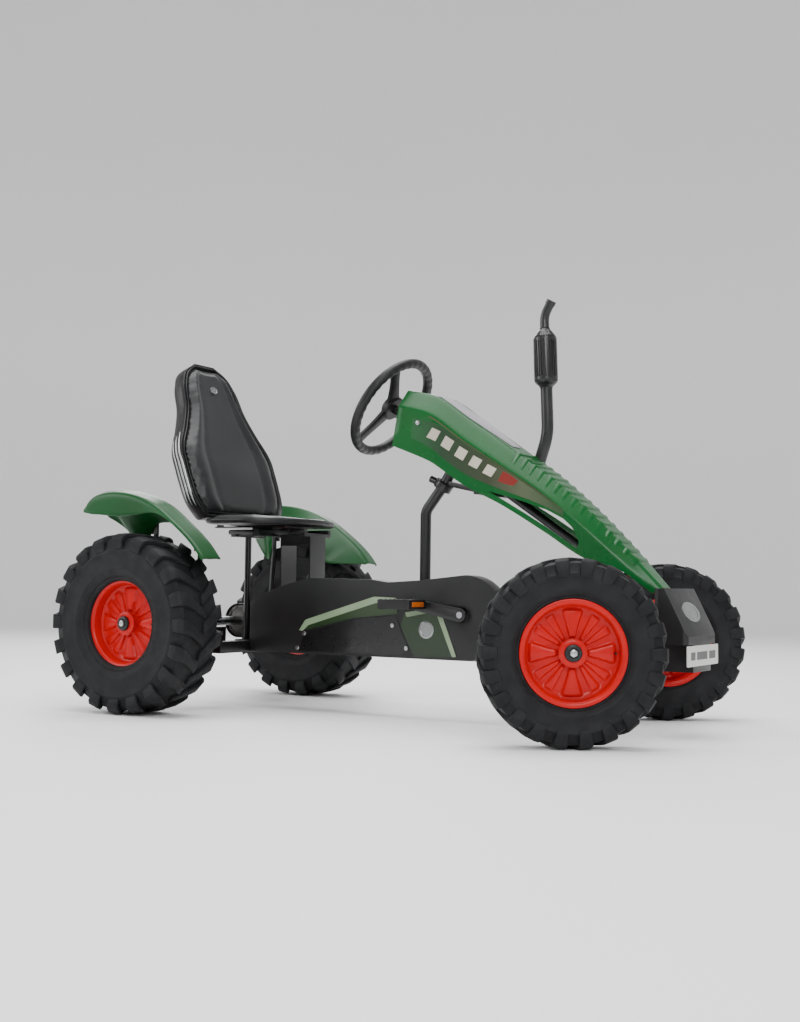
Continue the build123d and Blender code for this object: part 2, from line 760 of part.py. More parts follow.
def guard_face(inset):
    """The right guard's side view, inset from its edge."""
    radius = GUARD_FRONT_R - inset
    middle = GUARD_BASE + GUARD_FRONT_R
    top = [(x, 0, z - inset) for x, z in GUARD_TOP]
    nose_top = (CRANK_X + 8, 0, middle + radius)
    nose_low = (CRANK_X + 8, 0, middle - radius)
    rear = GUARD_REAR + inset
    edges = [
        ThreePointArc(nose_low, (CRANK_X + 8 + radius, 0, middle), nose_top),
        Polyline(nose_top, *top, (rear, 0, 285), (rear, 0, GUARD_BASE + inset), nose_low),
    ]
    return make_face(edges)


def chain_guard_right():
    """The large right cover: a plate, a rim turned inwards, and bosses to the frame."""
    plate = slab(guard_face(0), (-GUARD_Y, GUARD_WALL - GUARD_Y))
    rim_y = (-GUARD_Y, -SUPPORT_HALF - SEAT)
    edge = slab(guard_face(0), rim_y) - slab(guard_face(GUARD_WALL), (-GUARD_Y - 1, 0))
    boss = rod((250, -GUARD_Y, 290), (250, -SUPPORT_HALF - SEAT, 290), 8)
    for x in (470, CRANK_X + 20):
        boss += rod((x, -GUARD_Y, GUARD_BASE + 15), (x, -BEAM_HALF - SEAT, GUARD_BASE + 15), 6)
    shaft_hole = rod((CRANK_X, -GUARD_Y - 1, CRANK_Z), (CRANK_X, -GUARD_Y + 5, CRANK_Z), SPINDLE_R + 10)
    return plate + edge + boss - shaft_hole


REAR_CHAIN_R = pitch_radius(AXLE_TEETH) + 8
HUB_CHAIN_R = pitch_radius(HUB_DRIVER_TEETH) + 10


def chain_guard_left():
    """The slim left cover over the rear chain."""
    def belt(inset):
        return loop_face((HUB_X, HUB_Z), (0, REAR_TYRE_R), HUB_CHAIN_R - inset, REAR_CHAIN_R - inset)

    cover = slab(belt(0), (39, 71)) - slab(belt(2.5), (38, 68.5))
    boss = rod((250, SUPPORT_HALF + SEAT, 232), (250, 69, 232), 8)
    axle_hole = rod((0, 60, REAR_TYRE_R), (0, 80, REAR_TYRE_R), AXLE_R + 4)
    hub_hole = rod((HUB_X, 60, HUB_Z), (HUB_X, 80, HUB_Z), SPINDLE_R + 3)
    return cover + boss - axle_hole - hub_hole


def guard_panel():
    """The coloured panels on the right guard."""
    y = (-GUARD_Y - 1.5, -GUARD_Y)
    band = slab(side_face([(302, 216), (321, 240), (534, 304), (596, 302), (606, 264), (470, 250)]), y)
    wing = slab(side_face([
        (CRANK_X - 162, 268), (CRANK_X - 64, 284), (CRANK_X - 14, 162), (CRANK_X - 136, 158),
        (CRANK_X - 176, 236),
    ]), y)
    return group([band, wing])


def cover_screws():
    """The screws that hold the hood and the right guard."""
    heads = []
    for x, z in ((317, 206), (296, 168), (590, 234), (632, 178)):
        heads.append(rod((x, -GUARD_Y - 4, z), (x, -GUARD_Y, z), 5.5))
    share = 0.075
    y = hood_value(share, 5) + 0.1
    z = hood_value(share, 1) - 78
    for side in (-1, 1):
        heads.append(rod((hood_x(share), side * y, z), (hood_x(share), side * (y + 3), z), 6))
    return group(heads)


# Drive train

def chainring():
    """The front chainring."""
    return sprocket(CHAINRING_TEETH, (CRANK_X, CRANK_Z), FRONT_CHAIN_Y, SPINDLE_R + TIGHT, 26)


def crank_spindle():
    """The shaft between the two crank arms."""
    reach = ARM_Y + ARM_T
    return rod((CRANK_X, -reach, CRANK_Z), (CRANK_X, reach, CRANK_Z), SPINDLE_R)


def pedal_centre(side):
    """The pedal's axis in side view: the right pedal is side -1."""
    angle = radians(CRANK_ANGLE) + (pi if side > 0 else 0)
    return (CRANK_X + CRANK_LENGTH * cos(angle), CRANK_Z + CRANK_LENGTH * sin(angle))


def crank_arm(side):
    """One crank arm with its pedal spindle screwed in."""
    x, z = pedal_centre(side)
    y = sorted((side * ARM_Y, side * (ARM_Y + ARM_T)))
    body = slab(loop_face((CRANK_X, CRANK_Z), (x, z), 17, 13), y)
    bore = rod((CRANK_X, -120, CRANK_Z), (CRANK_X, 120, CRANK_Z), SPINDLE_R + TIGHT)
    spindle = rod((x, side * ARM_Y, z), (x, side * (PEDAL_Y[1] - 6), z), 6)
    return body - bore + spindle


def pedal(side):
    """A block pedal with two reflectors let into its ends."""
    x, z = pedal_centre(side)
    y = sorted((side * PEDAL_Y[0], side * PEDAL_Y[1]))
    body = block((x - PEDAL_HALF, x + PEDAL_HALF), y, (z - 12, z + 12))
    body = fillet(body.edges().filter_by(Axis.Y), 5)
    for low in (x - 32, x + 14):
        for y_low in (y[0] + 10, y[0] + 44):
            body -= block((low, low + 18), (y_low, y_low + 24), (z - 20, z + 20))
    mouth = sorted((side * (PEDAL_Y[0] - 1), side * (PEDAL_Y[1] - 5)))
    body -= rod((x, mouth[0], z), (x, mouth[1], z), 6 + RUN)
    reflectors = []
    for end in (-1, 1):
        face = x + end * PEDAL_HALF
        span = sorted((face, face + end * 3))
        middle = (y[0] + y[1]) / 2
        reflectors.append(block(span, (middle - 26, middle + 26), (z - 6, z + 6)))
    return group([body] + reflectors)


def gear_hub():
    """The gear hub between its ears, on its journals."""
    shell = rod((HUB_X, -24 + WASHER_GAP, HUB_Z), (HUB_X, 24 - WASHER_GAP, HUB_Z), 27)
    journal = rod((HUB_X, FRONT_CHAIN_Y - 8, HUB_Z), (HUB_X, REAR_CHAIN_Y + 8, HUB_Z), SPINDLE_R)
    return shell + journal


def hub_sprockets():
    """The driven and the driving sprocket on the hub."""
    centre = (HUB_X, HUB_Z)
    bore = SPINDLE_R + TIGHT
    return group([sprocket(HUB_DRIVEN_TEETH, centre, FRONT_CHAIN_Y, bore, 15),
                  sprocket(HUB_DRIVER_TEETH, centre, REAR_CHAIN_Y, bore, 15)])


def axle_sprocket():
    """The sprocket on the rear axle."""
    return sprocket(AXLE_TEETH, (0, REAR_TYRE_R), REAR_CHAIN_Y, AXLE_R + TIGHT, 24)


def chain_plates(front, rear, front_teeth, rear_teeth, y):
    """The two rows of side plates of one chain, as plain bands beside the teeth."""
    inner = [pitch_radius(front_teeth) - 4, pitch_radius(rear_teeth) - 4]
    outer = [pitch_radius(front_teeth) + 4, pitch_radius(rear_teeth) + 4]
    band = loop_face(front, rear, *outer) - loop_face(front, rear, *inner)
    gap = SPROCKET_T / 2 + 0.4
    return [slab(band, (y + gap, y + gap + 1.5)), slab(band, (y - gap - 1.5, y - gap))]


def chains():
    """The front chain on the right and the rear chain on the left."""
    front = chain_plates((CRANK_X, CRANK_Z), (HUB_X, HUB_Z), CHAINRING_TEETH, HUB_DRIVEN_TEETH, FRONT_CHAIN_Y)
    rear = chain_plates((HUB_X, HUB_Z), (0, REAR_TYRE_R), HUB_DRIVER_TEETH, AXLE_TEETH, REAR_CHAIN_Y)
    return group(front + rear)


# Seat

def seat_rail():
    """The two rails on their rear post and front support."""
    rails = []
    for side in (-1, 1):
        rails.append(rod((40, side * RAIL_Y, RAIL_Z), (SUPPORT_X[1], side * RAIL_Y, RAIL_Z), RAIL_R))
    post = rod((62, 0, CROSS_TOP), (62, 0, RAIL_SEAT_Z), 9)
    rear_yoke = block((48, 76), (-RAIL_Y - 5, RAIL_Y + 5), (RAIL_SEAT_Z - 6, RAIL_SEAT_Z + 3))
    stand = block(SUPPORT_X, (-SUPPORT_HALF, SUPPORT_HALF), (BEAM_TOP, RAIL_SEAT_Z - 6))
    front_yoke = block((SUPPORT_X[1] - 16, SUPPORT_X[1]), (-RAIL_Y - 5, RAIL_Y + 5),
                       (RAIL_SEAT_Z - 6, RAIL_SEAT_Z + 3))
    web = block(SUPPORT_X, (-SUPPORT_HALF, SUPPORT_HALF), (RAIL_SEAT_Z - 6, RAIL_SEAT_Z))
    hollow = block((SUPPORT_X[0] + 4, SUPPORT_X[1] - 4), (-SUPPORT_HALF - 1, SUPPORT_HALF + 1),
                   (330, RAIL_SEAT_Z - 30))
    return rails[0] + rails[1] + post + rear_yoke + stand + web + front_yoke - hollow


CARRIAGE_X = (128, 196)
LEVER_X = 160
LEVER_Y = RAIL_Y + 12


def seat_line(distance, depth):
    """A point by its distance up the seat back and its depth behind the front surface."""
    up = Vector(SEAT_HEAD[0] - SEAT_FOOT[0], 0, SEAT_HEAD[1] - SEAT_FOOT[1]).normalized()
    back = Vector(-up.Z, 0, up.X)
    return Vector(SEAT_FOOT[0], 0, SEAT_FOOT[1]) + up * distance + back * depth


def seat_frame():
    """The carriage on the rails, the plate under the pan and the two back stays."""
    deck = block((-6, 236), (-64, 64), (PAN_Z - 4, PAN_Z))
    for side in (-1, 1):
        y = sorted((side * (RAIL_Y - 12), side * (RAIL_Y + 12)))
        deck += block(CARRIAGE_X, y, (RAIL_Z - 12, PAN_Z - 4))
        stay_y = sorted((side * 40, side * 64))
        low = seat_line(14, SEAT_T + SEAT)
        high = seat_line(210, SEAT_T + SEAT)
        low_back = seat_line(14, SEAT_T + SEAT + 6)
        high_back = seat_line(210, SEAT_T + SEAT + 6)
        deck += slab(side_face([
            (low.X, PAN_Z - 4), (low.X, low.Z), (high.X, high.Z), (high_back.X, high_back.Z),
            (low_back.X, low_back.Z), (low_back.X - 1, PAN_Z - 4),
        ]), stay_y)
        deck -= rod((CARRIAGE_X[0] - 1, side * RAIL_Y, RAIL_Z), (CARRIAGE_X[1] + 1, side * RAIL_Y, RAIL_Z),
                    RAIL_R + RUN)
    return deck + rod((LEVER_X, -LEVER_Y, RAIL_Z), (LEVER_X, -LEVER_Y - 14, RAIL_Z), 4)


def seat_pan():
    """The seat's base, round at the front."""
    half = SEAT_HALF - 16
    nose_x = PAN_FRONT - 120
    outline = [
        Line((46, -half + 30), (46, half - 30)),
        ThreePointArc((46, half - 30), (56, half - 8), (80, half)),
        Line((80, half), (nose_x, half)),
        ThreePointArc((nose_x, half), (PAN_FRONT, 0), (nose_x, -half)),
        Line((nose_x, -half), (80, -half)),
        ThreePointArc((80, -half), (56, -half + 8), (46, -half + 30)),
    ]
    pan = extrude(Pos(0, 0, PAN_Z + SEAT) * make_face(outline), amount=PAN_T)
    back_space = slab(side_face([
        (seat_line(0, -4).X, PAN_Z - 10), (seat_line(-40, -SEAT).X, seat_line(-40, -SEAT).Z),
        (seat_line(80, -SEAT).X, seat_line(80, -SEAT).Z), (-60, 580), (-60, PAN_Z - 10),
    ]), (-300, 300))
    return fillet((pan - back_space).edges().filter_by(GeomType.CIRCLE).group_by(Axis.Z)[-1], 8)


def seat_back():
    """The tall padded back, narrow at the top."""
    half = SEAT_HALF
    left = [(0, 0.80), (40, 0.94), (110, 1.0), (210, 0.97), (270, 0.80), (330, 0.66), (410, 0.56), (452, 0.42),
            (478, 0.2)]
    plane = Plane(origin=seat_line(14, 0), x_dir=(0, 1, 0), z_dir=seat_line(0, 1) - seat_line(0, 0))
    sign = -1 if plane.y_dir.Z < 0 else 1
    outer = [(share * half, sign * up) for up, share in left]
    inner = [(-y, z) for y, z in reversed(outer)]
    outline = make_face(Polyline(*outer, *inner, close=True))
    body = extrude(plane * outline, amount=SEAT_T)
    return fillet(body.faces().sort_by(Axis.X)[-1].edges(), 6)


def seat_lever():
    """The lever that frees the seat's carriage."""
    hub = ring((LEVER_X, -LEVER_Y - 3, RAIL_Z), (LEVER_X, -LEVER_Y - 12, RAIL_Z), 9, 4 + RUN)
    arm = block((LEVER_X + 7, LEVER_X + 78), (-LEVER_Y - 11, -LEVER_Y - 5), (RAIL_Z - 5, RAIL_Z + 5))
    knob = rod((LEVER_X + 70, -LEVER_Y - 8, RAIL_Z), (LEVER_X + 100, -LEVER_Y - 8, RAIL_Z), 8)
    return hub + arm + knob


# Steering

def steering_wheel():
    """The round rim, three spokes and the middle boss."""
    rim_shape = Torus(STEERING_RIM_R, STEERING_GRIP_R)
    boss = Cylinder(34, 22)
    spokes = []
    for angle in SPOKE_ANGLES:
        spoke = block((20, STEERING_RIM_R), (-17, 17), (-6, 6))
        spokes.append(Rot(0, 0, angle + 180) * spoke)
    shape = rim_shape + boss + spokes - Cylinder(COLUMN_R + TIGHT, 60)
    place = Plane(origin=column_point(0), x_dir=PITMAN_DOWN, z_dir=COLUMN_UP)
    return turned_with_column(place * shape)


def wheel_hub_cap():
    """The cap over the steering wheel's nut."""
    place = Plane(origin=column_point(0), x_dir=PITMAN_DOWN, z_dir=COLUMN_UP)
    cap = Pos(0, 0, 11) * Cylinder(26, 8, align=(Align.CENTER, Align.CENTER, Align.MIN))
    return turned_with_column(place * fillet(cap.edges().group_by(Axis.Z)[-1], 4))


PITMAN_T = 8
EYE_T = 8
PIN_REACH = 24
EYE_GAP = 11   # clear height between the plate and either eye, which the tilted plate needs as it turns


def steering_column():
    """The column shaft with its pitman plate and one long pin at the plate's end."""
    shaft = rod(column_point(-9), column_point(COLUMN_LENGTH), COLUMN_R)
    place = Plane(origin=column_point(COLUMN_LENGTH - PITMAN_T), x_dir=PITMAN_DOWN, z_dir=COLUMN_UP * -1)
    plate = extrude(place * make_hull((Circle(18) + Pos(STEER_ARM, 0) * Circle(11)).edges()), amount=PITMAN_T)
    pin_centre = column_point(COLUMN_LENGTH - PITMAN_T / 2) + PITMAN_DOWN * STEER_ARM
    reach = COLUMN_UP * (PITMAN_T / 2 + PIN_REACH)
    pin = rod(pin_centre + reach, pin_centre - reach, BALL_PIN_R)
    return turned_with_column(shaft + plate + pin)


def pitman_pin(side):
    """The middle of one tie rod's loose eye, at the stored angle: left above the plate, right below."""
    near = PITMAN_T / 2 + EYE_GAP + EYE_T / 2
    shift = COLUMN_UP * (near if side > 0 else -near)
    straight = column_point(COLUMN_LENGTH - PITMAN_T / 2) + PITMAN_DOWN * STEER_ARM + shift
    return Vertex(straight).rotate(Axis(column_point(0), COLUMN_UP), STEER_AT_REST).center()


KNUCKLE_Z = (174, 184, 226, 236)
EYE_Z = 252


def arm_pin(side):
    """The knuckle arm's pin axis in plan at the stored angle."""
    angle = radians(STEER_AT_REST)
    return (WHEELBASE - STEER_ARM * cos(angle), side * KINGPIN_SPACING / 2 - STEER_ARM * sin(angle))


def tie_rod(side):
    """A tie rod from the knuckle arm's pin to the loose eye on the pitman's pin."""
    x, y = arm_pin(side)
    outer = rod((x, y, EYE_Z - EYE_T / 2), (x, y, EYE_Z + EYE_T / 2), 11)
    inner_centre = pitman_pin(side)
    half = COLUMN_UP * (EYE_T / 2)
    inner = rod(inner_centre - half, inner_centre + half, OPEN_EYE_R + 5)
    bar = rod((x, y, EYE_Z), inner_centre, ROD_R)
    slice_low = COLUMN_UP * 40
    outer_bore = rod((x, y, EYE_Z - 20), (x, y, EYE_Z + 20), BALL_PIN_R + RUN)
    inner_bore = rod(inner_centre - slice_low, inner_centre + slice_low, OPEN_EYE_R)
    return outer + inner + bar - outer_bore - inner_bore


def front_axle_beam():
    """The arched swinging axle with its middle tube and end bosses."""
    reach = KINGPIN_SPACING / 2
    arch = bent_rod([(WHEELBASE, -reach + 8, 205), (WHEELBASE, -reach + 120, 238),
                     (WHEELBASE, reach - 120, 238), (WHEELBASE, reach - 8, 205)], 120, 13)
    middle = rod((WHEELBASE - 20, 0, SWING_Z), (WHEELBASE + 20, 0, SWING_Z), 22)
    boss_z = (KNUCKLE_Z[1] + SEAT, KNUCKLE_Z[2] - SEAT)
    beam = arch + middle
    for side in (-1, 1):
        beam += rod((WHEELBASE, side * reach, boss_z[0]), (WHEELBASE, side * reach, boss_z[1]), 18)
        beam -= rod((WHEELBASE, side * reach, 150), (WHEELBASE, side * reach, 260), 7 + TIGHT)
    return beam - rod((WHEELBASE - 30, 0, SWING_Z), (WHEELBASE + 30, 0, SWING_Z), SPINDLE_R + RUN)


def kingpins():
    """The pins that the front knuckles turn on."""
    pins = []
    for side in (-1, 1):
        y = side * KINGPIN_SPACING / 2
        top = KNUCKLE_Z[3] + SEAT
        low = KNUCKLE_Z[0] - SEAT
        shank = rod((WHEELBASE, y, low), (WHEELBASE, y, top), 7)
        head = rod((WHEELBASE, y, top), (WHEELBASE, y, top + 4), 10)
        pins.append(shank + head + rod((WHEELBASE, y, low - 5), (WHEELBASE, y, low), 10))
    return group(pins)


def knuckle():
    """The left knuckle, straight ahead: two ears, web, stub axle and steering arm."""
    y = KINGPIN_SPACING / 2
    low, low_top, high, high_top = KNUCKLE_Z
    web = block((WHEELBASE - 15, WHEELBASE + 15), (y + 21, y + 31), (low, high_top))
    lower = block((WHEELBASE - 15, WHEELBASE + 15), (y, y + 22), (low, low_top))
    lower += rod((WHEELBASE, y, low), (WHEELBASE, y, low_top), 15)
    arm_end = (WHEELBASE - STEER_ARM, y)
    upper = block((WHEELBASE - 15, WHEELBASE + 15), (y, y + 22), (high, high_top))
    upper += rod((WHEELBASE, y, high), (WHEELBASE, y, high_top), 15)
    upper += block((arm_end[0], WHEELBASE), (y - 8, y + 8), (high, high_top))
    upper += rod((*arm_end, high), (*arm_end, high_top), 8)
    pin = rod((*arm_end, high), (*arm_end, EYE_Z + EYE_T / 2 + 3), BALL_PIN_R)
    bore = rod((WHEELBASE, y, low - 5), (WHEELBASE, y, high_top + 5), 7 + RUN)
    hub_face = FRONT_WHEEL_Y + FRONT_HUB_W[0]
    stub = rod((WHEELBASE, y + 25, FRONT_TYRE_R), (WHEELBASE, FRONT_WHEEL_Y + FRONT_HUB_W[1], FRONT_TYRE_R), STUB_R)
    shoulder = rod((WHEELBASE, y + 25, FRONT_TYRE_R), (WHEELBASE, hub_face - WASHER_GAP, FRONT_TYRE_R), 14)
    return web + lower + upper + pin - bore + stub + shoulder


def stub_nut():
    """The capped nut on the left stub axle, straight ahead."""
    y = FRONT_WHEEL_Y + FRONT_HUB_W[1]
    cap = end_cap(WHEELBASE, y + WASHER_GAP, FRONT_TYRE_R, 9)
    return cap + rod((WHEELBASE, y, FRONT_TYRE_R), (WHEELBASE, y + 2, FRONT_TYRE_R), STUB_R)


def nodes():
    """Every sub-part by its name."""
    return {
        "main_frame": main_frame(),
        "rear_frame": rear_frame(),
        "bearing_housings": bearing_housings(),
        "axle_bearings": axle_bearings(),
        "crank_bearings": crank_bearings(),
        "steering_post": steering_post(),
        "column_bushes": column_bushes(),
        "swing_bolt": swing_bolt(),
        "hood": hood(),
        "hood_inlay": hood_inlay(),
        "dash_panel": dash_panel(),
        "hood_bracket": hood_bracket(),
        "exhaust_stack": exhaust_stack(),
        "front_bumper": front_bumper(),
        "number_plate": number_plate(),
        "badges": badges(),
        "fender_left": fender(),
        "fender_right": across(fender()),
        "fender_brackets": fender_brackets(),
        "fender_bolts": fender_bolts(),
        "chain_guard_right": chain_guard_right(),
        "chain_guard_left": chain_guard_left(),
        "guard_panel": guard_panel(),
        "cover_screws": cover_screws(),
        "chains": chains(),
        "seat_rail": seat_rail(),
        "seat_frame": seat_frame(),
        "seat_pan": seat_pan(),
        "seat_back": seat_back(),
        "seat_lever": seat_lever(),
        "crank_spindle": crank_spindle(),
        "chainring": chainring(),
        "crank_arm_left": crank_arm(1),
        "crank_arm_right": crank_arm(-1),
        "pedal_left": pedal(1),
        "pedal_right": pedal(-1),
        "gear_hub": gear_hub(),
        "hub_sprockets": hub_sprockets(),
        "rear_axle": rear_axle(),
        "axle_sprocket": axle_sprocket(),
        "axle_end_caps": axle_end_caps(),
        "rear_rim_left": rear_rim(AXLE_R + RUN),
        "rear_rim_right": across(rear_rim(AXLE_R + TIGHT)),
        "rear_tyre_left": rear_tyre(),
        "rear_tyre_right": across(rear_tyre()),
        "steering_column": steering_column(),
        "steering_wheel": steering_wheel(),
        "wheel_hub_cap": wheel_hub_cap(),
        "front_axle_beam": front_axle_beam(),
        "kingpins": kingpins(),
        "tie_rod_left": tie_rod(1),
        "tie_rod_right": tie_rod(-1),
        "knuckle_left": front_corner(knuckle, 1),
        "knuckle_right": front_corner(knuckle, -1),
        "stub_nut_left": front_corner(stub_nut, 1),
        "stub_nut_right": front_corner(stub_nut, -1),
        "front_rim_left": front_corner(front_rim, 1),
        "front_rim_right": front_corner(front_rim, -1),
        "front_tyre_left": front_corner(front_tyre, 1),
        "front_tyre_right": front_corner(front_tyre, -1),
    }


def main():
    """Builds every sub-part, moves it to the part's own origin and writes it."""
    shapes = nodes()
    boxes = [shape.bounding_box() for shape in shapes.values()]
    middle = (min(box.min.X for box in boxes) + max(box.max.X for box in boxes)) / 2
    print("origin is", round(middle, 3), "mm ahead of the rear axle")
    os.makedirs("parts", exist_ok=True)
    for name, shape in shapes.items():
        export_step(Pos(-middle, 0, 0) * shape, f"parts/{name}.step")


main()
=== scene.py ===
"""Pedal go kart in tractor style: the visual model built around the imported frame, in metres."""

import json
import logging
import math
from contextlib import contextmanager
from dataclasses import dataclass, field
from enum import Enum
from itertools import chain
from typing import Iterator, Sequence

import bpy
import numpy as np
from mathutils import Matrix, Vector


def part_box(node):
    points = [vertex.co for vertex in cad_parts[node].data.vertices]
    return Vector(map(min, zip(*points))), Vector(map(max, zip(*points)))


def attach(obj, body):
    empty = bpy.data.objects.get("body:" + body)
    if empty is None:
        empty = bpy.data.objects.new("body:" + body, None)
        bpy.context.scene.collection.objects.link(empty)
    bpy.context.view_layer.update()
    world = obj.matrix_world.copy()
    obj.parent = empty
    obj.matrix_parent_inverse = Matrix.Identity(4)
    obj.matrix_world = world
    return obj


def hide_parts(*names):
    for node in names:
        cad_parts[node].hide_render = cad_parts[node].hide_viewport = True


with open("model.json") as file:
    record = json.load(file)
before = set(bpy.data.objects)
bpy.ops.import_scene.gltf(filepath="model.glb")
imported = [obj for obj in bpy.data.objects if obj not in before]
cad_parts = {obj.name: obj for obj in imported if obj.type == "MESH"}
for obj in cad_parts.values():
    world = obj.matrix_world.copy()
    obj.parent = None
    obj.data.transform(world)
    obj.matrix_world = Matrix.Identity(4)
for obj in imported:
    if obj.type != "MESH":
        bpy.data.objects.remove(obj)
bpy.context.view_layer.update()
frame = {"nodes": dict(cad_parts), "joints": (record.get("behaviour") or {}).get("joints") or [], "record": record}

LOG = logging.getLogger("kart")
Point = Sequence[float]
MM = 0.001


class Side(Enum):
    """The driver's left or right."""

    LEFT = 1
    RIGHT = -1

    @property
    def word(self) -> str:
        """The side's name as the frame's nodes spell it."""
        return self.name.lower()


class Grain(Enum):
    """The fine relief of a surface."""

    NOISE = "noise"
    CELLS = "cells"


# Finishes


@dataclass(frozen=True)
class Finish:
    """One surface finish, with slow colour drift, uneven gloss and a fine relief.

    Args:
        name: the material's name.
        colour: the main linear colour.
        drift: the colour that the main one drifts towards in patches.
        roughness: middle roughness.
        spread: how far roughness moves either way.
        metallic: 0 for paint and plastic, 1 for bare metal.
        coat: weight of a clear coat.
        sheen: weight of a soft sheen.
        patches: patches per metre of the colour drift.
        scale: relief marks per metre.
        relief: strength of the relief.
        grain: the kind of relief.
        specular: level of the reflection on paint and plastic.
    """

    name: str
    colour: tuple[float, float, float]
    drift: tuple[float, float, float]
    roughness: float = 0.5
    spread: float = 0.08
    metallic: float = 0.0
    coat: float = 0.0
    sheen: float = 0.0
    patches: float = 8.0
    scale: float = 900.0
    relief: float = 0.12
    grain: Grain = Grain.NOISE
    specular: float = 0.35

    def material(self) -> bpy.types.Material:
        """Returns the material, made the first time it is asked for."""
        title = f"kart_{self.name}"
        found = bpy.data.materials.get(title)
        if found:
            return found
        made = bpy.data.materials.new(title)
        made.use_nodes = True
        tree = made.node_tree
        shader = tree.nodes["Principled BSDF"]
        shader.inputs["Metallic"].default_value = self.metallic
        shader.inputs["Specular IOR Level"].default_value = self.specular
        shader.inputs["Coat Weight"].default_value = self.coat
        shader.inputs["Coat Roughness"].default_value = 0.08
        shader.inputs["Sheen Weight"].default_value = self.sheen
        place = tree.nodes.new("ShaderNodeTexCoord").outputs["Object"]
        tree.links.new(self.colours(tree, place), shader.inputs["Base Color"])
        marks = self.marks(tree, place)
        gloss = tree.nodes.new("ShaderNodeMapRange")
        gloss.inputs["To Min"].default_value = self.roughness - self.spread
        gloss.inputs["To Max"].default_value = self.roughness + self.spread
        tree.links.new(self.noise(tree, place, self.patches * 3.1, 4.0), gloss.inputs["Value"])
        tree.links.new(gloss.outputs["Result"], shader.inputs["Roughness"])
        bump = tree.nodes.new("ShaderNodeBump")
        bump.inputs["Strength"].default_value = self.relief
        bump.inputs["Distance"].default_value = 0.4 / self.scale
        tree.links.new(marks, bump.inputs["Height"])
        tree.links.new(bump.outputs["Normal"], shader.inputs["Normal"])
        return made

    def noise(self, tree: bpy.types.NodeTree, place: bpy.types.NodeSocket, scale: float,
              detail: float) -> bpy.types.NodeSocket:
        """Adds a noise texture.

        Args:
            tree: the material's nodes.
            place: the coordinates that it reads.
            scale: features per metre.
            detail: octaves.

        Returns:
            The noise value's socket.
        """
        node = tree.nodes.new("ShaderNodeTexNoise")
        node.inputs["Scale"].default_value = scale
        node.inputs["Detail"].default_value = detail
        tree.links.new(place, node.inputs["Vector"])
        return node.outputs["Fac"]

    def colours(self, tree: bpy.types.NodeTree, place: bpy.types.NodeSocket) -> bpy.types.NodeSocket:
        """Adds the colour drift and returns its colour socket."""
        ramp = tree.nodes.new("ShaderNodeValToRGB")
        ramp.color_ramp.elements[0].position = 0.36
        ramp.color_ramp.elements[0].color = (*self.colour, 1)
        ramp.color_ramp.elements[1].position = 0.68
        ramp.color_ramp.elements[1].color = (*self.drift, 1)
        tree.links.new(self.noise(tree, place, self.patches, 3.0), ramp.inputs["Fac"])
        return ramp.outputs["Color"]

    def marks(self, tree: bpy.types.NodeTree, place: bpy.types.NodeSocket) -> bpy.types.NodeSocket:
        """Adds the fine relief and returns its height socket."""
        if self.grain is Grain.NOISE:
            return self.noise(tree, place, self.scale, 2.0)
        node = tree.nodes.new("ShaderNodeTexVoronoi")
        node.feature = "SMOOTH_F1"
        node.inputs["Scale"].default_value = self.scale
        node.inputs["Smoothness"].default_value = 0.4
        tree.links.new(place, node.inputs["Vector"])
        return node.outputs["Distance"]


@dataclass(frozen=True)
class BandFinish(Finish):
    """A printed film whose colour runs through stops along one axis.

    Args:
        axis: 0, 1 or 2 for X, Y or Z.
        low: where the first stop lies, in metres.
        high: where the last stop lies, in metres.
        stops: (share, colour) pairs from low to high.
    """

    axis: int = 0
    low: float = 0.0
    high: float = 1.0
    stops: tuple[tuple[float, tuple[float, float, float]], ...] = ()

    def colours(self, tree: bpy.types.NodeTree, place: bpy.types.NodeSocket) -> bpy.types.NodeSocket:
        """Adds the run of colours and returns its colour socket."""
        split = tree.nodes.new("ShaderNodeSeparateXYZ")
        tree.links.new(place, split.inputs["Vector"])
        span = tree.nodes.new("ShaderNodeMapRange")
        span.inputs["From Min"].default_value = self.low
        span.inputs["From Max"].default_value = self.high
        tree.links.new(split.outputs[self.axis], span.inputs["Value"])
        ramp = tree.nodes.new("ShaderNodeValToRGB")
        bar = ramp.color_ramp
        while len(bar.elements) < len(self.stops):
            bar.elements.new(0.5)
        for element, (share, colour) in zip(bar.elements, self.stops):
            element.position = share
            element.color = (*colour, 1)
        tree.links.new(span.outputs["Result"], ramp.inputs["Fac"])
        return ramp.outputs["Color"]


GREEN = Finish("hood_green", (0.0020, 0.074, 0.0135), (0.0028, 0.088, 0.0170), 0.27, 0.05, coat=0.03,
               patches=5, scale=260, relief=0.05, specular=0.22)
FENDER_GREEN = Finish("fender_green", (0.0014, 0.050, 0.0085), (0.0022, 0.066, 0.0120), 0.34, 0.07, coat=0.03,
                      patches=6, scale=320, relief=0.08, specular=0.22)
RED = Finish("rim_red", (0.50, 0.0010, 0.0020), (0.42, 0.0008, 0.0015), 0.30, 0.06, coat=0.05,
             patches=14, scale=420, relief=0.06, specular=0.2)
RUBBER = Finish("tyre_rubber", (0.0080, 0.0082, 0.0092), (0.0140, 0.0145, 0.0160), 0.60, 0.10,
                patches=26, scale=620, relief=0.35, specular=0.18)
FRAME_BLACK = Finish("frame_black", (0.006, 0.006, 0.0065), (0.010, 0.010, 0.011), 0.33, 0.08, coat=0.15,
                     patches=12, scale=1500, relief=0.16)
PLASTIC = Finish("black_plastic", (0.007, 0.007, 0.0075), (0.011, 0.011, 0.012), 0.40, 0.08,
                 patches=10, scale=1700, relief=0.22, grain=Grain.CELLS)
STACK_BLACK = Finish("stack_black", (0.009, 0.009, 0.0095), (0.016, 0.016, 0.017), 0.30, 0.06, coat=0.2,
                     patches=18, scale=1100, relief=0.12)
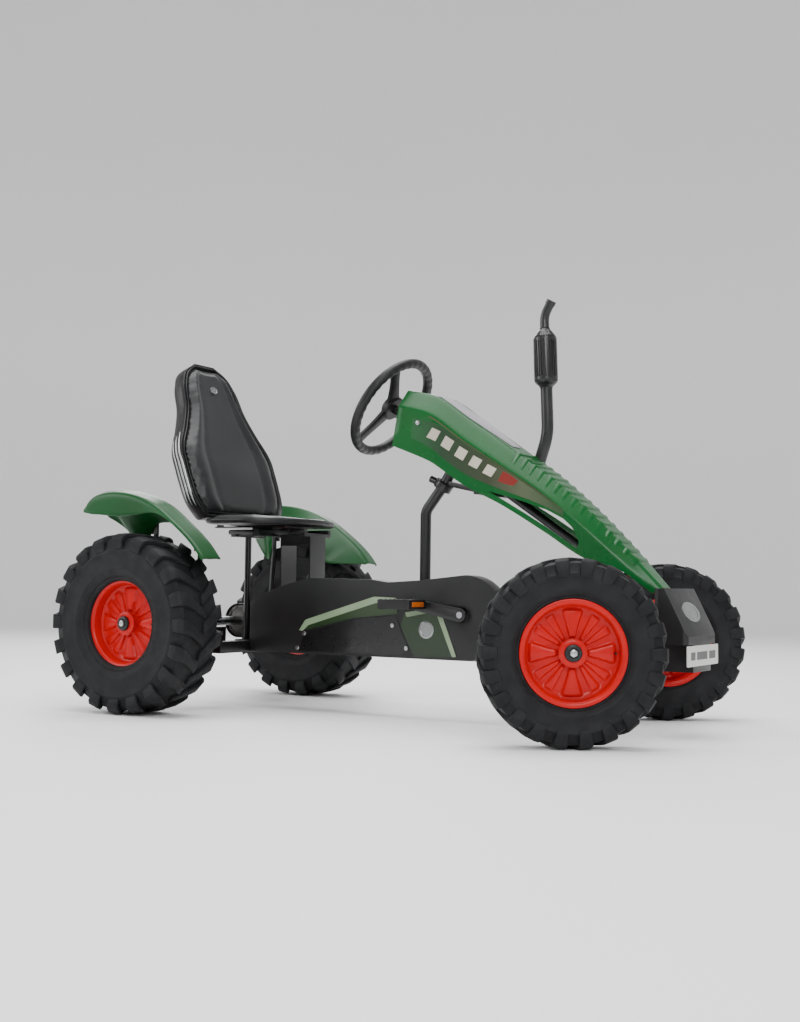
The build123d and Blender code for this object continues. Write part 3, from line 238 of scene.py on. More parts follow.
GRIP = Finish("wheel_grip", (0.006, 0.006, 0.0065), (0.010, 0.010, 0.011), 0.38, 0.06,
              patches=20, scale=1300, relief=0.4, grain=Grain.CELLS)
VINYL = Finish("seat_vinyl", (0.0085, 0.009, 0.010), (0.014, 0.0145, 0.016), 0.38, 0.07, sheen=0.04,
               patches=9, scale=620, relief=0.3, grain=Grain.CELLS)
PIPING = Finish("seat_piping", (0.006, 0.006, 0.006), (0.01, 0.01, 0.011), 0.33, 0.05, scale=900)
SILVER = Finish("silver_stripe", (0.50, 0.50, 0.51), (0.40, 0.40, 0.41), 0.30, 0.08, metallic=0.55,
                patches=22, scale=700, relief=0.08)
ZINC = Finish("zinc_steel", (0.48, 0.48, 0.49), (0.36, 0.36, 0.38), 0.30, 0.09, metallic=1.0,
              patches=30, scale=800, relief=0.12)
CHAIN_STEEL = Finish("chain_steel", (0.13, 0.125, 0.12), (0.07, 0.065, 0.06), 0.38, 0.10, metallic=1.0,
                     patches=60, scale=900, relief=0.15)
BEARING = Finish("bearing_steel", (0.66, 0.66, 0.67), (0.55, 0.55, 0.57), 0.18, 0.05, metallic=1.0,
                 patches=30, scale=700, relief=0.05)
NYLON = Finish("bush_nylon", (0.55, 0.54, 0.49), (0.47, 0.46, 0.42), 0.48, 0.05, scale=900)
INLAY = Finish("inlay_grey", (0.30, 0.275, 0.305), (0.38, 0.35, 0.385), 0.32, 0.06, coat=0.3,
               patches=6, scale=700, relief=0.06)
PLATE = Finish("plate_white", (0.60, 0.60, 0.58), (0.54, 0.54, 0.52), 0.35, 0.05, coat=0.3, scale=500, relief=0.05)
BADGE = Finish("badge_silver", (0.26, 0.27, 0.27), (0.18, 0.19, 0.19), 0.26, 0.05, metallic=0.7, scale=600)
BADGE_DARK = Finish("badge_dark", (0.02, 0.02, 0.022), (0.03, 0.03, 0.032), 0.35, 0.05, coat=0.3, scale=600)
AMBER = Finish("reflector_amber", (0.52, 0.11, 0.004), (0.42, 0.08, 0.003), 0.18, 0.04, coat=0.8,
               patches=60, scale=420, relief=0.5, grain=Grain.CELLS)
CREAM = Finish("print_cream", (0.50, 0.46, 0.38), (0.42, 0.38, 0.31), 0.38, 0.05, coat=0.2, scale=500, relief=0.04)
PRINT_RED = Finish("print_red", (0.20, 0.010, 0.005), (0.15, 0.012, 0.007), 0.38, 0.05, coat=0.2, scale=500,
                   relief=0.04)
PRINT_BROWN = Finish("print_brown", (0.045, 0.040, 0.016), (0.06, 0.052, 0.022), 0.40, 0.05, coat=0.2, scale=500,
                     relief=0.04)
PANEL_DARK = Finish("panel_dark", (0.004, 0.004, 0.0045), (0.007, 0.007, 0.0075), 0.28, 0.05, coat=0.3, scale=700,
                    relief=0.06)
PANEL_PALE = Finish("panel_pale", (0.22, 0.29, 0.18), (0.17, 0.24, 0.14), 0.36, 0.05, coat=0.3, scale=400,
                    relief=0.05)

NODE_FINISH = {
    "main_frame": FRAME_BLACK, "rear_frame": FRAME_BLACK, "bearing_housings": FRAME_BLACK,
    "axle_bearings": BEARING, "crank_bearings": BEARING, "steering_post": FRAME_BLACK,
    "column_bushes": NYLON, "swing_bolt": ZINC, "hood_inlay": INLAY, "dash_panel": PLASTIC,
    "hood_bracket": FRAME_BLACK, "front_bumper": PLASTIC, "number_plate": PLATE,
    "fender_brackets": FRAME_BLACK, "fender_bolts": ZINC, "chain_guard_right": PLASTIC,
    "chain_guard_left": PLASTIC, "cover_screws": ZINC, "chains": CHAIN_STEEL, "seat_rail": FRAME_BLACK,
    "seat_frame": FRAME_BLACK, "seat_lever": PLASTIC, "crank_spindle": ZINC, "chainring": CHAIN_STEEL,
    "crank_arm_left": FRAME_BLACK, "crank_arm_right": FRAME_BLACK, "gear_hub": ZINC,
    "hub_sprockets": CHAIN_STEEL, "rear_axle": ZINC, "axle_sprocket": CHAIN_STEEL,
    "steering_column": FRAME_BLACK, "front_axle_beam": FRAME_BLACK, "kingpins": ZINC,
    "knuckle_left": FRAME_BLACK, "knuckle_right": FRAME_BLACK,
    "tie_rod_left": FRAME_BLACK, "tie_rod_right": FRAME_BLACK,
}


# Bench work


def calm() -> None:
    """Leaves edit mode and deselects everything."""
    if bpy.context.object and bpy.context.object.mode != "OBJECT":
        bpy.ops.object.mode_set(mode="OBJECT")
    bpy.ops.object.select_all(action="DESELECT")


def take(piece: bpy.types.Object) -> None:
    """Selects one piece alone and makes it the active one."""
    calm()
    piece.select_set(True)
    bpy.context.view_layer.objects.active = piece


@contextmanager
def editing(piece: bpy.types.Object, mode: str = "VERT") -> Iterator[None]:
    """Edit mode with everything selected.

    Args:
        piece: the mesh object.
        mode: VERT, EDGE or FACE.
    """
    take(piece)
    bpy.ops.object.mode_set(mode="EDIT")
    bpy.ops.mesh.select_mode(type=mode)
    bpy.ops.mesh.select_all(action="SELECT")
    yield
    bpy.ops.object.mode_set(mode="OBJECT")


def modify(piece: bpy.types.Object, kind: str, **settings: object) -> bpy.types.Object:
    """Adds one modifier and applies it.

    Args:
        piece: the mesh object.
        kind: Blender's name for the modifier type.
        settings: its settings.

    Returns:
        The same piece.
    """
    take(piece)
    modifier = piece.modifiers.new(kind, kind)
    for key, value in settings.items():
        setattr(modifier, key, value)
    bpy.ops.object.modifier_apply(modifier=modifier.name)
    return piece


def named(piece: bpy.types.Object, name: str) -> bpy.types.Object:
    """Names a piece and its mesh, and returns it."""
    piece.name = name
    piece.data.name = name
    return piece


def tidy(piece: bpy.types.Object, merge: float = 1e-5, outwards: bool = True) -> bpy.types.Object:
    """Merges doubles and turns the faces outwards.

    Args:
        piece: the mesh object.
        merge: distance below which points merge.
        outwards: whether the normals are recalculated.

    Returns:
        The same piece.
    """
    with editing(piece):
        bpy.ops.mesh.remove_doubles(threshold=merge)
        if outwards:
            bpy.ops.mesh.normals_make_consistent(inside=False)
    return piece


def smooth(piece: bpy.types.Object, angle: float = 32.0) -> bpy.types.Object:
    """Shades a piece smooth up to an angle in degrees, and returns it."""
    take(piece)
    bpy.ops.object.shade_smooth_by_angle(angle=math.radians(angle))
    return piece


def dress(piece: bpy.types.Object, finish: Finish) -> bpy.types.Object:
    """Gives a piece one finish all over, and returns it."""
    piece.data.materials.clear()
    piece.data.materials.append(finish.material())
    return piece


def laid(name: str, rows: Sequence[Sequence[Point]], closed: bool = False, capped: bool = False,
         flip: bool = False) -> bpy.types.Object:
    """A grid whose points are laid on given rows.

    Args:
        name: the piece's name.
        rows: equal rows of points.
        closed: whether each row's last point meets its first.
        capped: whether open ends are filled.
        flip: whether the faces are turned over.

    Returns:
        The new piece.
    """
    calm()
    bpy.ops.mesh.primitive_grid_add(x_subdivisions=len(rows[0]) - 1, y_subdivisions=len(rows) - 1, size=1)
    piece = named(bpy.context.object, name)
    flat = np.array(list(chain.from_iterable(rows)), np.float32)
    piece.data.vertices.foreach_set("co", flat.ravel())
    piece.data.update()
    if closed or capped:
        with editing(piece):
            bpy.ops.mesh.remove_doubles(threshold=1e-6)
            if capped:
                bpy.ops.mesh.fill_holes(sides=0)
            bpy.ops.mesh.normals_make_consistent(inside=False)
    if flip:
        with editing(piece):
            bpy.ops.mesh.flip_normals()
    return piece


def spun(name: str, profile: Sequence[tuple[float, float]], steps: int, ring: bool = False) -> bpy.types.Object:
    """A profile of (radius, height) points drawn by extrusion and spun about Z.

    Args:
        name: the piece's name.
        profile: the points, in metres.
        steps: steps round the circle.
        ring: whether the last point joins the first, as in a closed ring.

    Returns:
        The new piece.
    """
    calm()
    bpy.ops.mesh.primitive_plane_add(size=0.01)
    piece = named(bpy.context.object, name)
    with editing(piece):
        bpy.ops.mesh.merge(type="CENTER")
        bpy.ops.transform.translate(value=(profile[0][0], 0, profile[0][1]))
        points = list(profile[1:]) + ([profile[0]] if ring else [])
        last = profile[0]
        for radius, height in points:
            step = (radius - last[0], 0, height - last[1])
            bpy.ops.mesh.extrude_region_move(TRANSFORM_OT_translate={"value": step})
            last = (radius, height)
        bpy.ops.mesh.select_all(action="SELECT")
        bpy.ops.mesh.spin(steps=steps, angle=math.tau, center=(0, 0, 0), axis=(0, 0, 1))
    return tidy(piece)


def bar(name: str, points: Sequence[Point], radius: float, around: int = 5, closed: bool = False) -> bpy.types.Object:
    """A round bar along a line.

    Args:
        name: the piece's name.
        points: the line's points.
        radius: the bar's radius.
        around: Blender's bevel resolution.
        closed: whether the line is a loop.

    Returns:
        The new piece, as a mesh.
    """
    curve = bpy.data.curves.new(name, "CURVE")
    curve.dimensions = "3D"
    curve.bevel_depth = radius
    curve.bevel_resolution = around
    curve.use_fill_caps = not closed
    line = curve.splines.new("POLY")
    line.points.add(len(points) - 1)
    for knot, point in zip(line.points, points):
        knot.co = (*point, 1)
    line.use_cyclic_u = closed
    piece = bpy.data.objects.new(name, curve)
    bpy.context.collection.objects.link(piece)
    take(piece)
    bpy.ops.object.convert(target="MESH")
    return smooth(tidy(named(bpy.context.object, name)), 50)


def brick(name: str, low: Point, high: Point, edge: float = 0.002, segments: int = 2) -> bpy.types.Object:
    """A block with rounded edges.

    Args:
        name: the piece's name.
        low: its lowest corner.
        high: its highest corner.
        edge: the width of the rounding.
        segments: steps in the rounding.

    Returns:
        The new piece.
    """
    calm()
    low, high = Vector(low), Vector(high)
    bpy.ops.mesh.primitive_cube_add(size=1, location=(low + high) / 2, scale=high - low)
    piece = named(bpy.context.object, name)
    bpy.ops.object.transform_apply(location=True, rotation=True, scale=True)
    modify(piece, "BEVEL", width=edge, segments=segments, limit_method="ANGLE")
    return smooth(piece)


def copied(piece: bpy.types.Object, name: str, matrix: Matrix) -> bpy.types.Object:
    """A copy with its own mesh, moved by a matrix.

    Args:
        piece: what is copied.
        name: the copy's name.
        matrix: the move, which may mirror.

    Returns:
        The copy.
    """
    twin = bpy.data.objects.new(name, piece.data.copy())
    bpy.context.collection.objects.link(twin)
    twin.data.name = name
    twin.data.transform(matrix)
    if matrix.determinant() < 0:
        with editing(twin):
            bpy.ops.mesh.flip_normals()
    return twin


def moved(piece: bpy.types.Object, matrix: Matrix) -> bpy.types.Object:
    """Moves a piece's mesh by a matrix, and returns the piece."""
    piece.data.transform(matrix)
    if matrix.determinant() < 0:
        with editing(piece):
            bpy.ops.mesh.flip_normals()
    return piece


def joined(name: str, pieces: Sequence[bpy.types.Object]) -> bpy.types.Object:
    """Several meshes made one.

    Args:
        name: the new name.
        pieces: the meshes, each keeping its materials.

    Returns:
        The joined piece.
    """
    calm()
    for piece in pieces:
        piece.select_set(True)
    bpy.context.view_layer.objects.active = pieces[0]
    bpy.ops.object.join()
    return named(bpy.context.object, name)


def cut(piece: bpy.types.Object, tool: bpy.types.Object) -> bpy.types.Object:
    """Cuts one closed mesh out of another, and removes the tool."""
    modify(piece, "BOOLEAN", object=tool, operation="DIFFERENCE", solver="EXACT")
    bpy.data.objects.remove(tool)
    return piece


def through(table: Sequence[Sequence[float]], value: float) -> list[float]:
    """Reads a table at a value of its first column, on a smooth line through its rows.

    Args:
        table: rows that rise in their first column.
        value: where to read.

    Returns:
        The other columns there.
    """
    rows = np.array(table, float)
    keys, columns = rows[:, 0], rows[:, 1:]
    slopes = np.gradient(columns, keys, axis=0)
    index = int(np.clip(np.searchsorted(keys, value) - 1, 0, len(keys) - 2))
    width = keys[index + 1] - keys[index]
    t = float(np.clip((value - keys[index]) / width, 0, 1))
    start, end = columns[index], columns[index + 1]
    bend_a, bend_b = slopes[index] * width, slopes[index + 1] * width
    low, high = np.minimum(start, end), np.maximum(start, end)
    found = ((2 * t**3 - 3 * t**2 + 1) * start + (t**3 - 2 * t**2 + t) * bend_a
             + (3 * t**2 - 2 * t**3) * end + (t**3 - t**2) * bend_b)
    margin = 0.12 * (high - low)
    return list(np.clip(found, low - margin, high + margin))


def rounded(corners: Sequence[tuple[float, float]], radius: float, steps: int = 3) -> list[tuple[float, float]]:
    """An open line with its inner corners rounded.

    Args:
        corners: the line's corners.
        radius: how far from each corner the rounding starts.
        steps: points in each rounding.

    Returns:
        The points of the line.
    """
    line = [corners[0]]
    for before, corner, after in zip(corners, corners[1:], corners[2:]):
        middle = Vector(corner)
        into, out = Vector(before) - middle, Vector(after) - middle
        start = middle + into.normalized() * min(radius, into.length * 0.45)
        end = middle + out.normalized() * min(radius, out.length * 0.45)
        for step in range(steps + 1):
            t = step / steps
            line.append(tuple(start * (1 - t) ** 2 + middle * 2 * t * (1 - t) + end * t**2))
    line.append(corners[-1])
    return line


def filled(line: Sequence[tuple[float, float]], gap: float) -> list[tuple[float, float]]:
    """A line with points added so that none lie further apart than a gap."""
    made = [line[0]]
    for start, end in zip(line, line[1:]):
        a, b = Vector(start), Vector(end)
        count = max(1, math.ceil((b - a).length / gap))
        made += [tuple(a.lerp(b, step / count)) for step in range(1, count + 1)]
    return made


# Places


def joint(name: str) -> dict:
    """The frame's joint of that name."""
    return next(row for row in frame["joints"] if row["name"] == name)


REAR_AXLE = Vector(joint("rear_axle_spin")["pos_m"])


def at(x: float, y: float, z: float) -> Vector:
    """A place in the frame, from millimetres ahead, left and above the floor under the rear axle."""
    return Vector((REAR_AXLE.x + x * MM, y * MM, z * MM))


def body_of_node(node: str) -> str:
    """The body that a node belongs to."""
    bodies = frame["record"]["behaviour"]["bodies"]
    return next(body for body, members in bodies.items() if node in members)


def stand_for(piece: bpy.types.Object, node: str) -> bpy.types.Object:
    """Puts a piece in a node's place: attaches it to the node's body and hides the node."""
    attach(piece, body_of_node(node))
    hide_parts(node)
    return piece


def softened(node: str, width: float, segments: int = 2, angle: float = 35.0) -> bpy.types.Object:
    """A copy of a node with rounded edges, in the node's place.

    Args:
        node: the node's name.
        width: the rounding's width.
        segments: steps in the rounding.
        angle: edges sharper than this are rounded, in degrees.

    Returns:
        The new piece.
    """
    source = frame["nodes"][node]
    piece = copied(source, f"{node}_rounded", Matrix.Identity(4))
    with editing(piece):
        bpy.ops.mesh.remove_doubles(threshold=1e-5)
        bpy.ops.mesh.dissolve_limited(angle_limit=math.radians(0.6))
    modify(piece, "BEVEL", width=width, segments=segments, limit_method="ANGLE", angle_limit=math.radians(angle))
    smooth(piece, 30)
    dress(piece, NODE_FINISH.get(node, PLASTIC))
    return stand_for(piece, node)


# Wheels


@dataclass
class FarmTyre:
    """A farm tyre with two staggered rows of slanted lugs, about Z with the outer side up."""

    radius: float
    width: float
    flange: float
    lugs: int
    lug: float
    slant: float
    steps: int = 120

    def carcass(self, name: str) -> bpy.types.Object:
        """Builds the body between the beads, with rings on its sidewalls."""
        half = self.width / 2 - self.lug * 0.55
        crown = self.radius - self.lug
        wall = crown - self.flange
        side = [
            (self.flange - 6 * MM, half - 20 * MM), (self.flange - 4 * MM, half - 15 * MM),
            (self.flange + 2 * MM, half - 11 * MM), (self.flange + 5 * MM, half - 11.5 * MM),
            (self.flange + 9 * MM, half - 6 * MM), (self.flange + wall * 0.18, half - 3.2 * MM),
            (self.flange + wall * 0.21, half - 1.4 * MM), (self.flange + wall * 0.25, half - 1.2 * MM),
            (self.flange + wall * 0.28, half - 2.0 * MM), (self.flange + wall * 0.46, half - 0.4 * MM),
            (self.flange + wall * 0.60, half - 1.0 * MM), (self.flange + wall * 0.63, half + 0.4 * MM),
            (self.flange + wall * 0.67, half + 0.2 * MM), (self.flange + wall * 0.70, half - 2.4 * MM),
            (self.flange + wall * 0.86, half - 8.0 * MM), (crown - 5 * MM, half * 0.80),
            (crown - 1.6 * MM, half * 0.58), (crown, half * 0.30), (crown + 0.4 * MM, 0.0),
        ]
        profile = side + [(r, -h) for r, h in reversed(side[:-1])]
        piece = spun(name, profile, self.steps)
        with editing(piece):
            bpy.ops.mesh.select_all(action="DESELECT")
            bpy.ops.mesh.select_non_manifold()
            bpy.ops.mesh.bridge_edge_loops()
            bpy.ops.mesh.select_all(action="SELECT")
            bpy.ops.mesh.normals_make_consistent(inside=False)
        return smooth(piece, 40)

    def lug_block(self, name: str) -> bpy.types.Object:
        """Builds one lug of the upper row: a slanted bar that bends down over the shoulder."""
        half = self.width / 2
        pitch = math.tau / self.lugs
        crown = self.radius - self.lug
        stations = [
            (-2.5 * MM, self.radius - 0.6 * MM, crown - 4 * MM, 0.62, 0.155),
            (half * 0.26, self.radius, crown - 4 * MM, 0.40, 0.170),
            (half * 0.54, self.radius, crown - 5 * MM, 0.17, 0.200),
            (half * 0.74, self.radius - 1.6 * MM, crown - 9 * MM, 0.05, 0.235),
            (half * 0.90, self.radius - 6.5 * MM, crown - 16 * MM, 0.01, 0.255),
            (half * 0.985, self.radius - 16 * MM, crown - 26 * MM, 0.0, 0.262),
            (half * 0.99, self.radius - 29 * MM, crown - 34 * MM, 0.0, 0.250),
            (half * 0.95, self.radius - 40 * MM, crown - 38 * MM, 0.0, 0.235),
        ]
        rows = []
        for index, (height, top, foot, ahead, share) in enumerate(stations):
            middle = ahead * pitch * self.slant
            wide, narrow = share * pitch * 1.12, share * pitch
            down = height - (9 * MM if index > 4 else 0)
            row = []
            for angle, radius, level in (
                (middle - wide, foot, down), (middle - narrow, top, height),
                (middle + narrow, top, height), (middle + wide, foot, down),
                (middle - wide, foot, down),
            ):
                row.append((radius * math.cos(angle), radius * math.sin(angle), level))
            rows.append(row)
        piece = laid(name, rows, closed=True, capped=True)
        modify(piece, "BEVEL", width=1.6 * MM, segments=2, limit_method="ANGLE", angle_limit=math.radians(28))
        return piece

    def build(self, name: str) -> bpy.types.Object:
        """Builds the whole tyre about Z, dressed in rubber."""
        parts = [self.carcass(f"{name}_carcass")]
        block = self.lug_block(f"{name}_lug")
        flip = Matrix.Scale(-1, 4, (0, 0, 1))
        for index in range(self.lugs):
            turn = Matrix.Rotation(index * math.tau / self.lugs, 4, "Z")
            half_turn = Matrix.Rotation((index + 0.5) * math.tau / self.lugs, 4, "Z")
            parts.append(copied(block, f"{name}_upper_{index}", turn))
            parts.append(copied(block, f"{name}_lower_{index}", half_turn @ flip))
        bpy.data.objects.remove(block)
        return dress(smooth(joined(name, parts), 40), RUBBER)


@dataclass
class DishedRim:
    """A pressed rim with four wide petals and four pairs of narrow ribs, about Z with the outer side up."""

    bead: float
    flange: float
    width: float
    disc: float
    hub_low: float
    hub_high: float
    bore: float
    hub: float = 25 * MM
    wall: float = 3 * MM
    around: int = 192
    rings: int = 26

    def barrel(self, name: str) -> bpy.types.Object:
        """Builds the barrel with a rolled lip on both flanges."""
        half = self.width / 2
        inner = self.bead - self.wall
        lip = self.flange
        upper = [
            (inner, half * 0.35), (inner + 0.6 * MM, half - 9 * MM), (inner + 3.5 * MM, half - 3 * MM),
            (inner + 8 * MM, half - 0.6 * MM), (lip - 3.2 * MM, half), (lip - 0.8 * MM, half - 0.8 * MM),
            (lip, half - 2.4 * MM), (lip - 1.0 * MM, half - 3.8 * MM), (lip - 4 * MM, half - 3.4 * MM),
            (self.bead + 3 * MM, half - 4.5 * MM), (self.bead, half - 9 * MM),
        ]
        lower = [(radius, -height) for radius, height in reversed(upper)]
        piece = spun(name, upper + lower, 96, ring=True)
        return smooth(piece, 40)

    def face_height(self, radius: float, angle: float) -> float:
        """The disc's outer surface.

        Args:
            radius: distance from the axle.
            angle: place round the wheel.

        Returns:
            The height along the axle.
        """
        inner = self.bead - self.wall
        share = (radius - self.hub) / (inner - self.hub)
        dish = self.disc + 3 * MM + 7 * MM * max(0.0, (share - 0.80) / 0.20) ** 2 + 3 * MM * (1 - share) ** 2
        turn = math.degrees(angle) % 90.0
        from_wide = min(turn, 90.0 - turn)
        from_pair = abs(abs(turn - 45.0) - 11.5)
        wide_half = 8.5 + 4.5 * share
        pair_half = 4.2 + 1.2 * share
        wide = 1 - self.step((from_wide - wide_half) / 3.0)
        pair = 1 - self.step((from_pair - pair_half) / 2.4)
        gate = self.step((share - 0.05) / 0.10) * (1 - self.step((share - 0.84) / 0.10))
        crown = 1.0 + 0.25 * math.cos(min(1.0, from_wide / wide_half) * math.pi / 2)
        return dish + gate * max(7.0 * MM * wide * crown, 5.5 * MM * pair)

    def step(self, value: float) -> float:
        """A smooth step from 0 to 1."""
        value = min(1.0, max(0.0, value))
        return value * value * (3 - 2 * value)

    def face(self, name: str) -> bpy.types.Object:
        """Builds the pressed disc with its petals."""
        inner = self.bead - self.wall + 0.4 * MM
        start = self.hub - 2 * MM
        rows = []
        for ring_index in range(self.rings + 1):
            radius = start + (inner - start) * ring_index / self.rings
            row = []
            for index in range(self.around + 1):
                angle = math.tau * index / self.around
                height = self.face_height(radius, angle)
                row.append((radius * math.cos(angle), radius * math.sin(angle), height))
            rows.append(row)
        piece = laid(name, rows, closed=True)
        with editing(piece):
            bpy.ops.mesh.normals_make_consistent(inside=False)
        if sum(polygon.normal.z for polygon in piece.data.polygons) < 0:
            with editing(piece):
                bpy.ops.mesh.flip_normals()
        modify(piece, "SOLIDIFY", thickness=3.2 * MM, offset=-1)
        return smooth(piece, 60)

    def middle(self, name: str) -> bpy.types.Object:
        """Builds the hub tube with a raised ring round its mouth."""
        out = self.hub
        low, high = self.hub_low, self.hub_high
        profile = [
            (self.bore, low), (out - 2 * MM, low), (out, low + 2 * MM), (out, high - 9 * MM),
            (out + 5 * MM, high - 7 * MM), (out + 5.5 * MM, high - 3.5 * MM), (out + 2 * MM, high - 0.6 * MM),
            (out - 3 * MM, high), (self.bore, high),
        ]
        return smooth(spun(name, profile, 64, ring=True), 35)

    def build(self, name: str) -> bpy.types.Object:
        """Builds the whole rim about Z, dressed in red."""
        parts = [self.barrel(f"{name}_barrel"), self.face(f"{name}_face"), self.middle(f"{name}_hub")]
        stem = [(0, 0), (2.6 * MM, 0), (2.6 * MM, 12 * MM), (1.8 * MM, 16 * MM), (0, 16 * MM)]
        valve = spun(f"{name}_valve", stem, 12)
        moved(valve, Matrix.Translation((self.bead - 12 * MM, 0, self.disc + 12 * MM)))
        dressed = [dress(part, RED) for part in parts] + [dress(smooth(valve), PLASTIC)]
        return joined(name, dressed)


@dataclass
class HubCap:
    """The black cap and grey bolt in the middle of a wheel, about Z with its foot at zero."""

    radius: float = 18.6 * MM

    def build(self, name: str) -> bpy.types.Object:
        """Builds the cap with its washer and its bolt."""
        r = self.radius
        cap = spun(f"{name}_cap", [
            (0, 0), (r, 0), (r, 2.4 * MM), (r - 1.2 * MM, 4.6 * MM), (r - 4 * MM, 5.8 * MM),
            (11 * MM, 6 * MM), (10.4 * MM, 4.6 * MM), (0, 4.6 * MM),
        ], 48)
        calm()
        bpy.ops.mesh.primitive_cylinder_add(vertices=6, radius=8.4 * MM, depth=5.2 * MM, location=(0, 0, 7.2 * MM))
        bolt = named(bpy.context.object, f"{name}_bolt")
        bpy.ops.object.transform_apply(location=True, rotation=True, scale=True)
        modify(bolt, "BEVEL", width=0.9 * MM, segments=2, limit_method="ANGLE")
        dress(smooth(cap), PLASTIC)
        dress(smooth(bolt), ZINC)
        return joined(name, [cap, bolt])


@dataclass
class Wheels:
    """All four wheels, placed from the frame's joints."""

    rear_track: float = 0.756
    front_offset: float = 0.050
    steer: float = math.radians(32)

    def places(self) -> dict[str, Matrix]:
        """Returns each wheel's place, from a wheel built about Z with its outer side up."""
        outwards = Matrix.Rotation(-math.pi / 2, 4, "X")
        places = {}
        for side in Side:
            mirror = Matrix.Scale(-1, 4, (0, 1, 0)) if side is Side.RIGHT else Matrix.Identity(4)
            rear = Matrix.Translation((REAR_AXLE.x, side.value * self.rear_track / 2, REAR_AXLE.z))
            places[f"rear_{side.word}"] = rear @ mirror @ outwards
            pin = Vector(joint(f"steer_{side.word}_turn")["pos_m"])
            turn = Matrix.Rotation(self.steer, 4, "Z")
            front = Matrix.Translation(pin) @ turn @ Matrix.Translation((0, side.value * self.front_offset, 0))
            places[f"front_{side.word}"] = front @ mirror @ outwards
        return places

    def build(self) -> None:
        """Builds one tyre, rim and cap of each size and places their copies."""
        rear_tyre = FarmTyre(230 * MM, 164 * MM, 114 * MM, 20, 9 * MM, 1.0).build("rear_tyre")
        front_tyre = FarmTyre(200 * MM, 99 * MM, 114 * MM, 22, 7 * MM, 0.8).build("front_tyre")
        bead, flange = 101.6 * MM, 113.8 * MM
        rear_rim = DishedRim(bead, flange, 105 * MM, 14 * MM, -47.5 * MM, 44.5 * MM, 12.7 * MM).build("rear_rim")
        front_rim = DishedRim(bead, flange, 75.6 * MM, 4 * MM, -13.5 * MM, 29.5 * MM, 8.2 * MM).build("front_rim")
        rear_cap, front_cap = HubCap().build("rear_cap"), HubCap().build("front_cap")
        end_caps = []
        for name, place in self.places().items():
            axle, side = name.split("_")
            tyre, rim = (rear_tyre, rear_rim) if axle == "rear" else (front_tyre, front_rim)
            stand_for(copied(tyre, f"{name}_farm_tyre", place), f"{axle}_tyre_{side}")
            stand_for(copied(rim, f"{name}_dished_rim", place), f"{axle}_rim_{side}")
            if axle == "rear":
                end_caps.append(copied(rear_cap, f"{name}_cap", place @ Matrix.Translation((0, 0, 45.4 * MM))))
            else:
                cap = copied(front_cap, f"{name}_cap", place @ Matrix.Translation((0, 0, 30.4 * MM)))
                stand_for(cap, f"stub_nut_{side}")
        stand_for(joined("rear_axle_caps", end_caps), "axle_end_caps")
        for piece in (rear_tyre, front_tyre, rear_rim, front_rim, rear_cap, front_cap):
            bpy.data.objects.remove(piece)
        LOG.info("wheels: four tyres, rims and caps")


# Hood


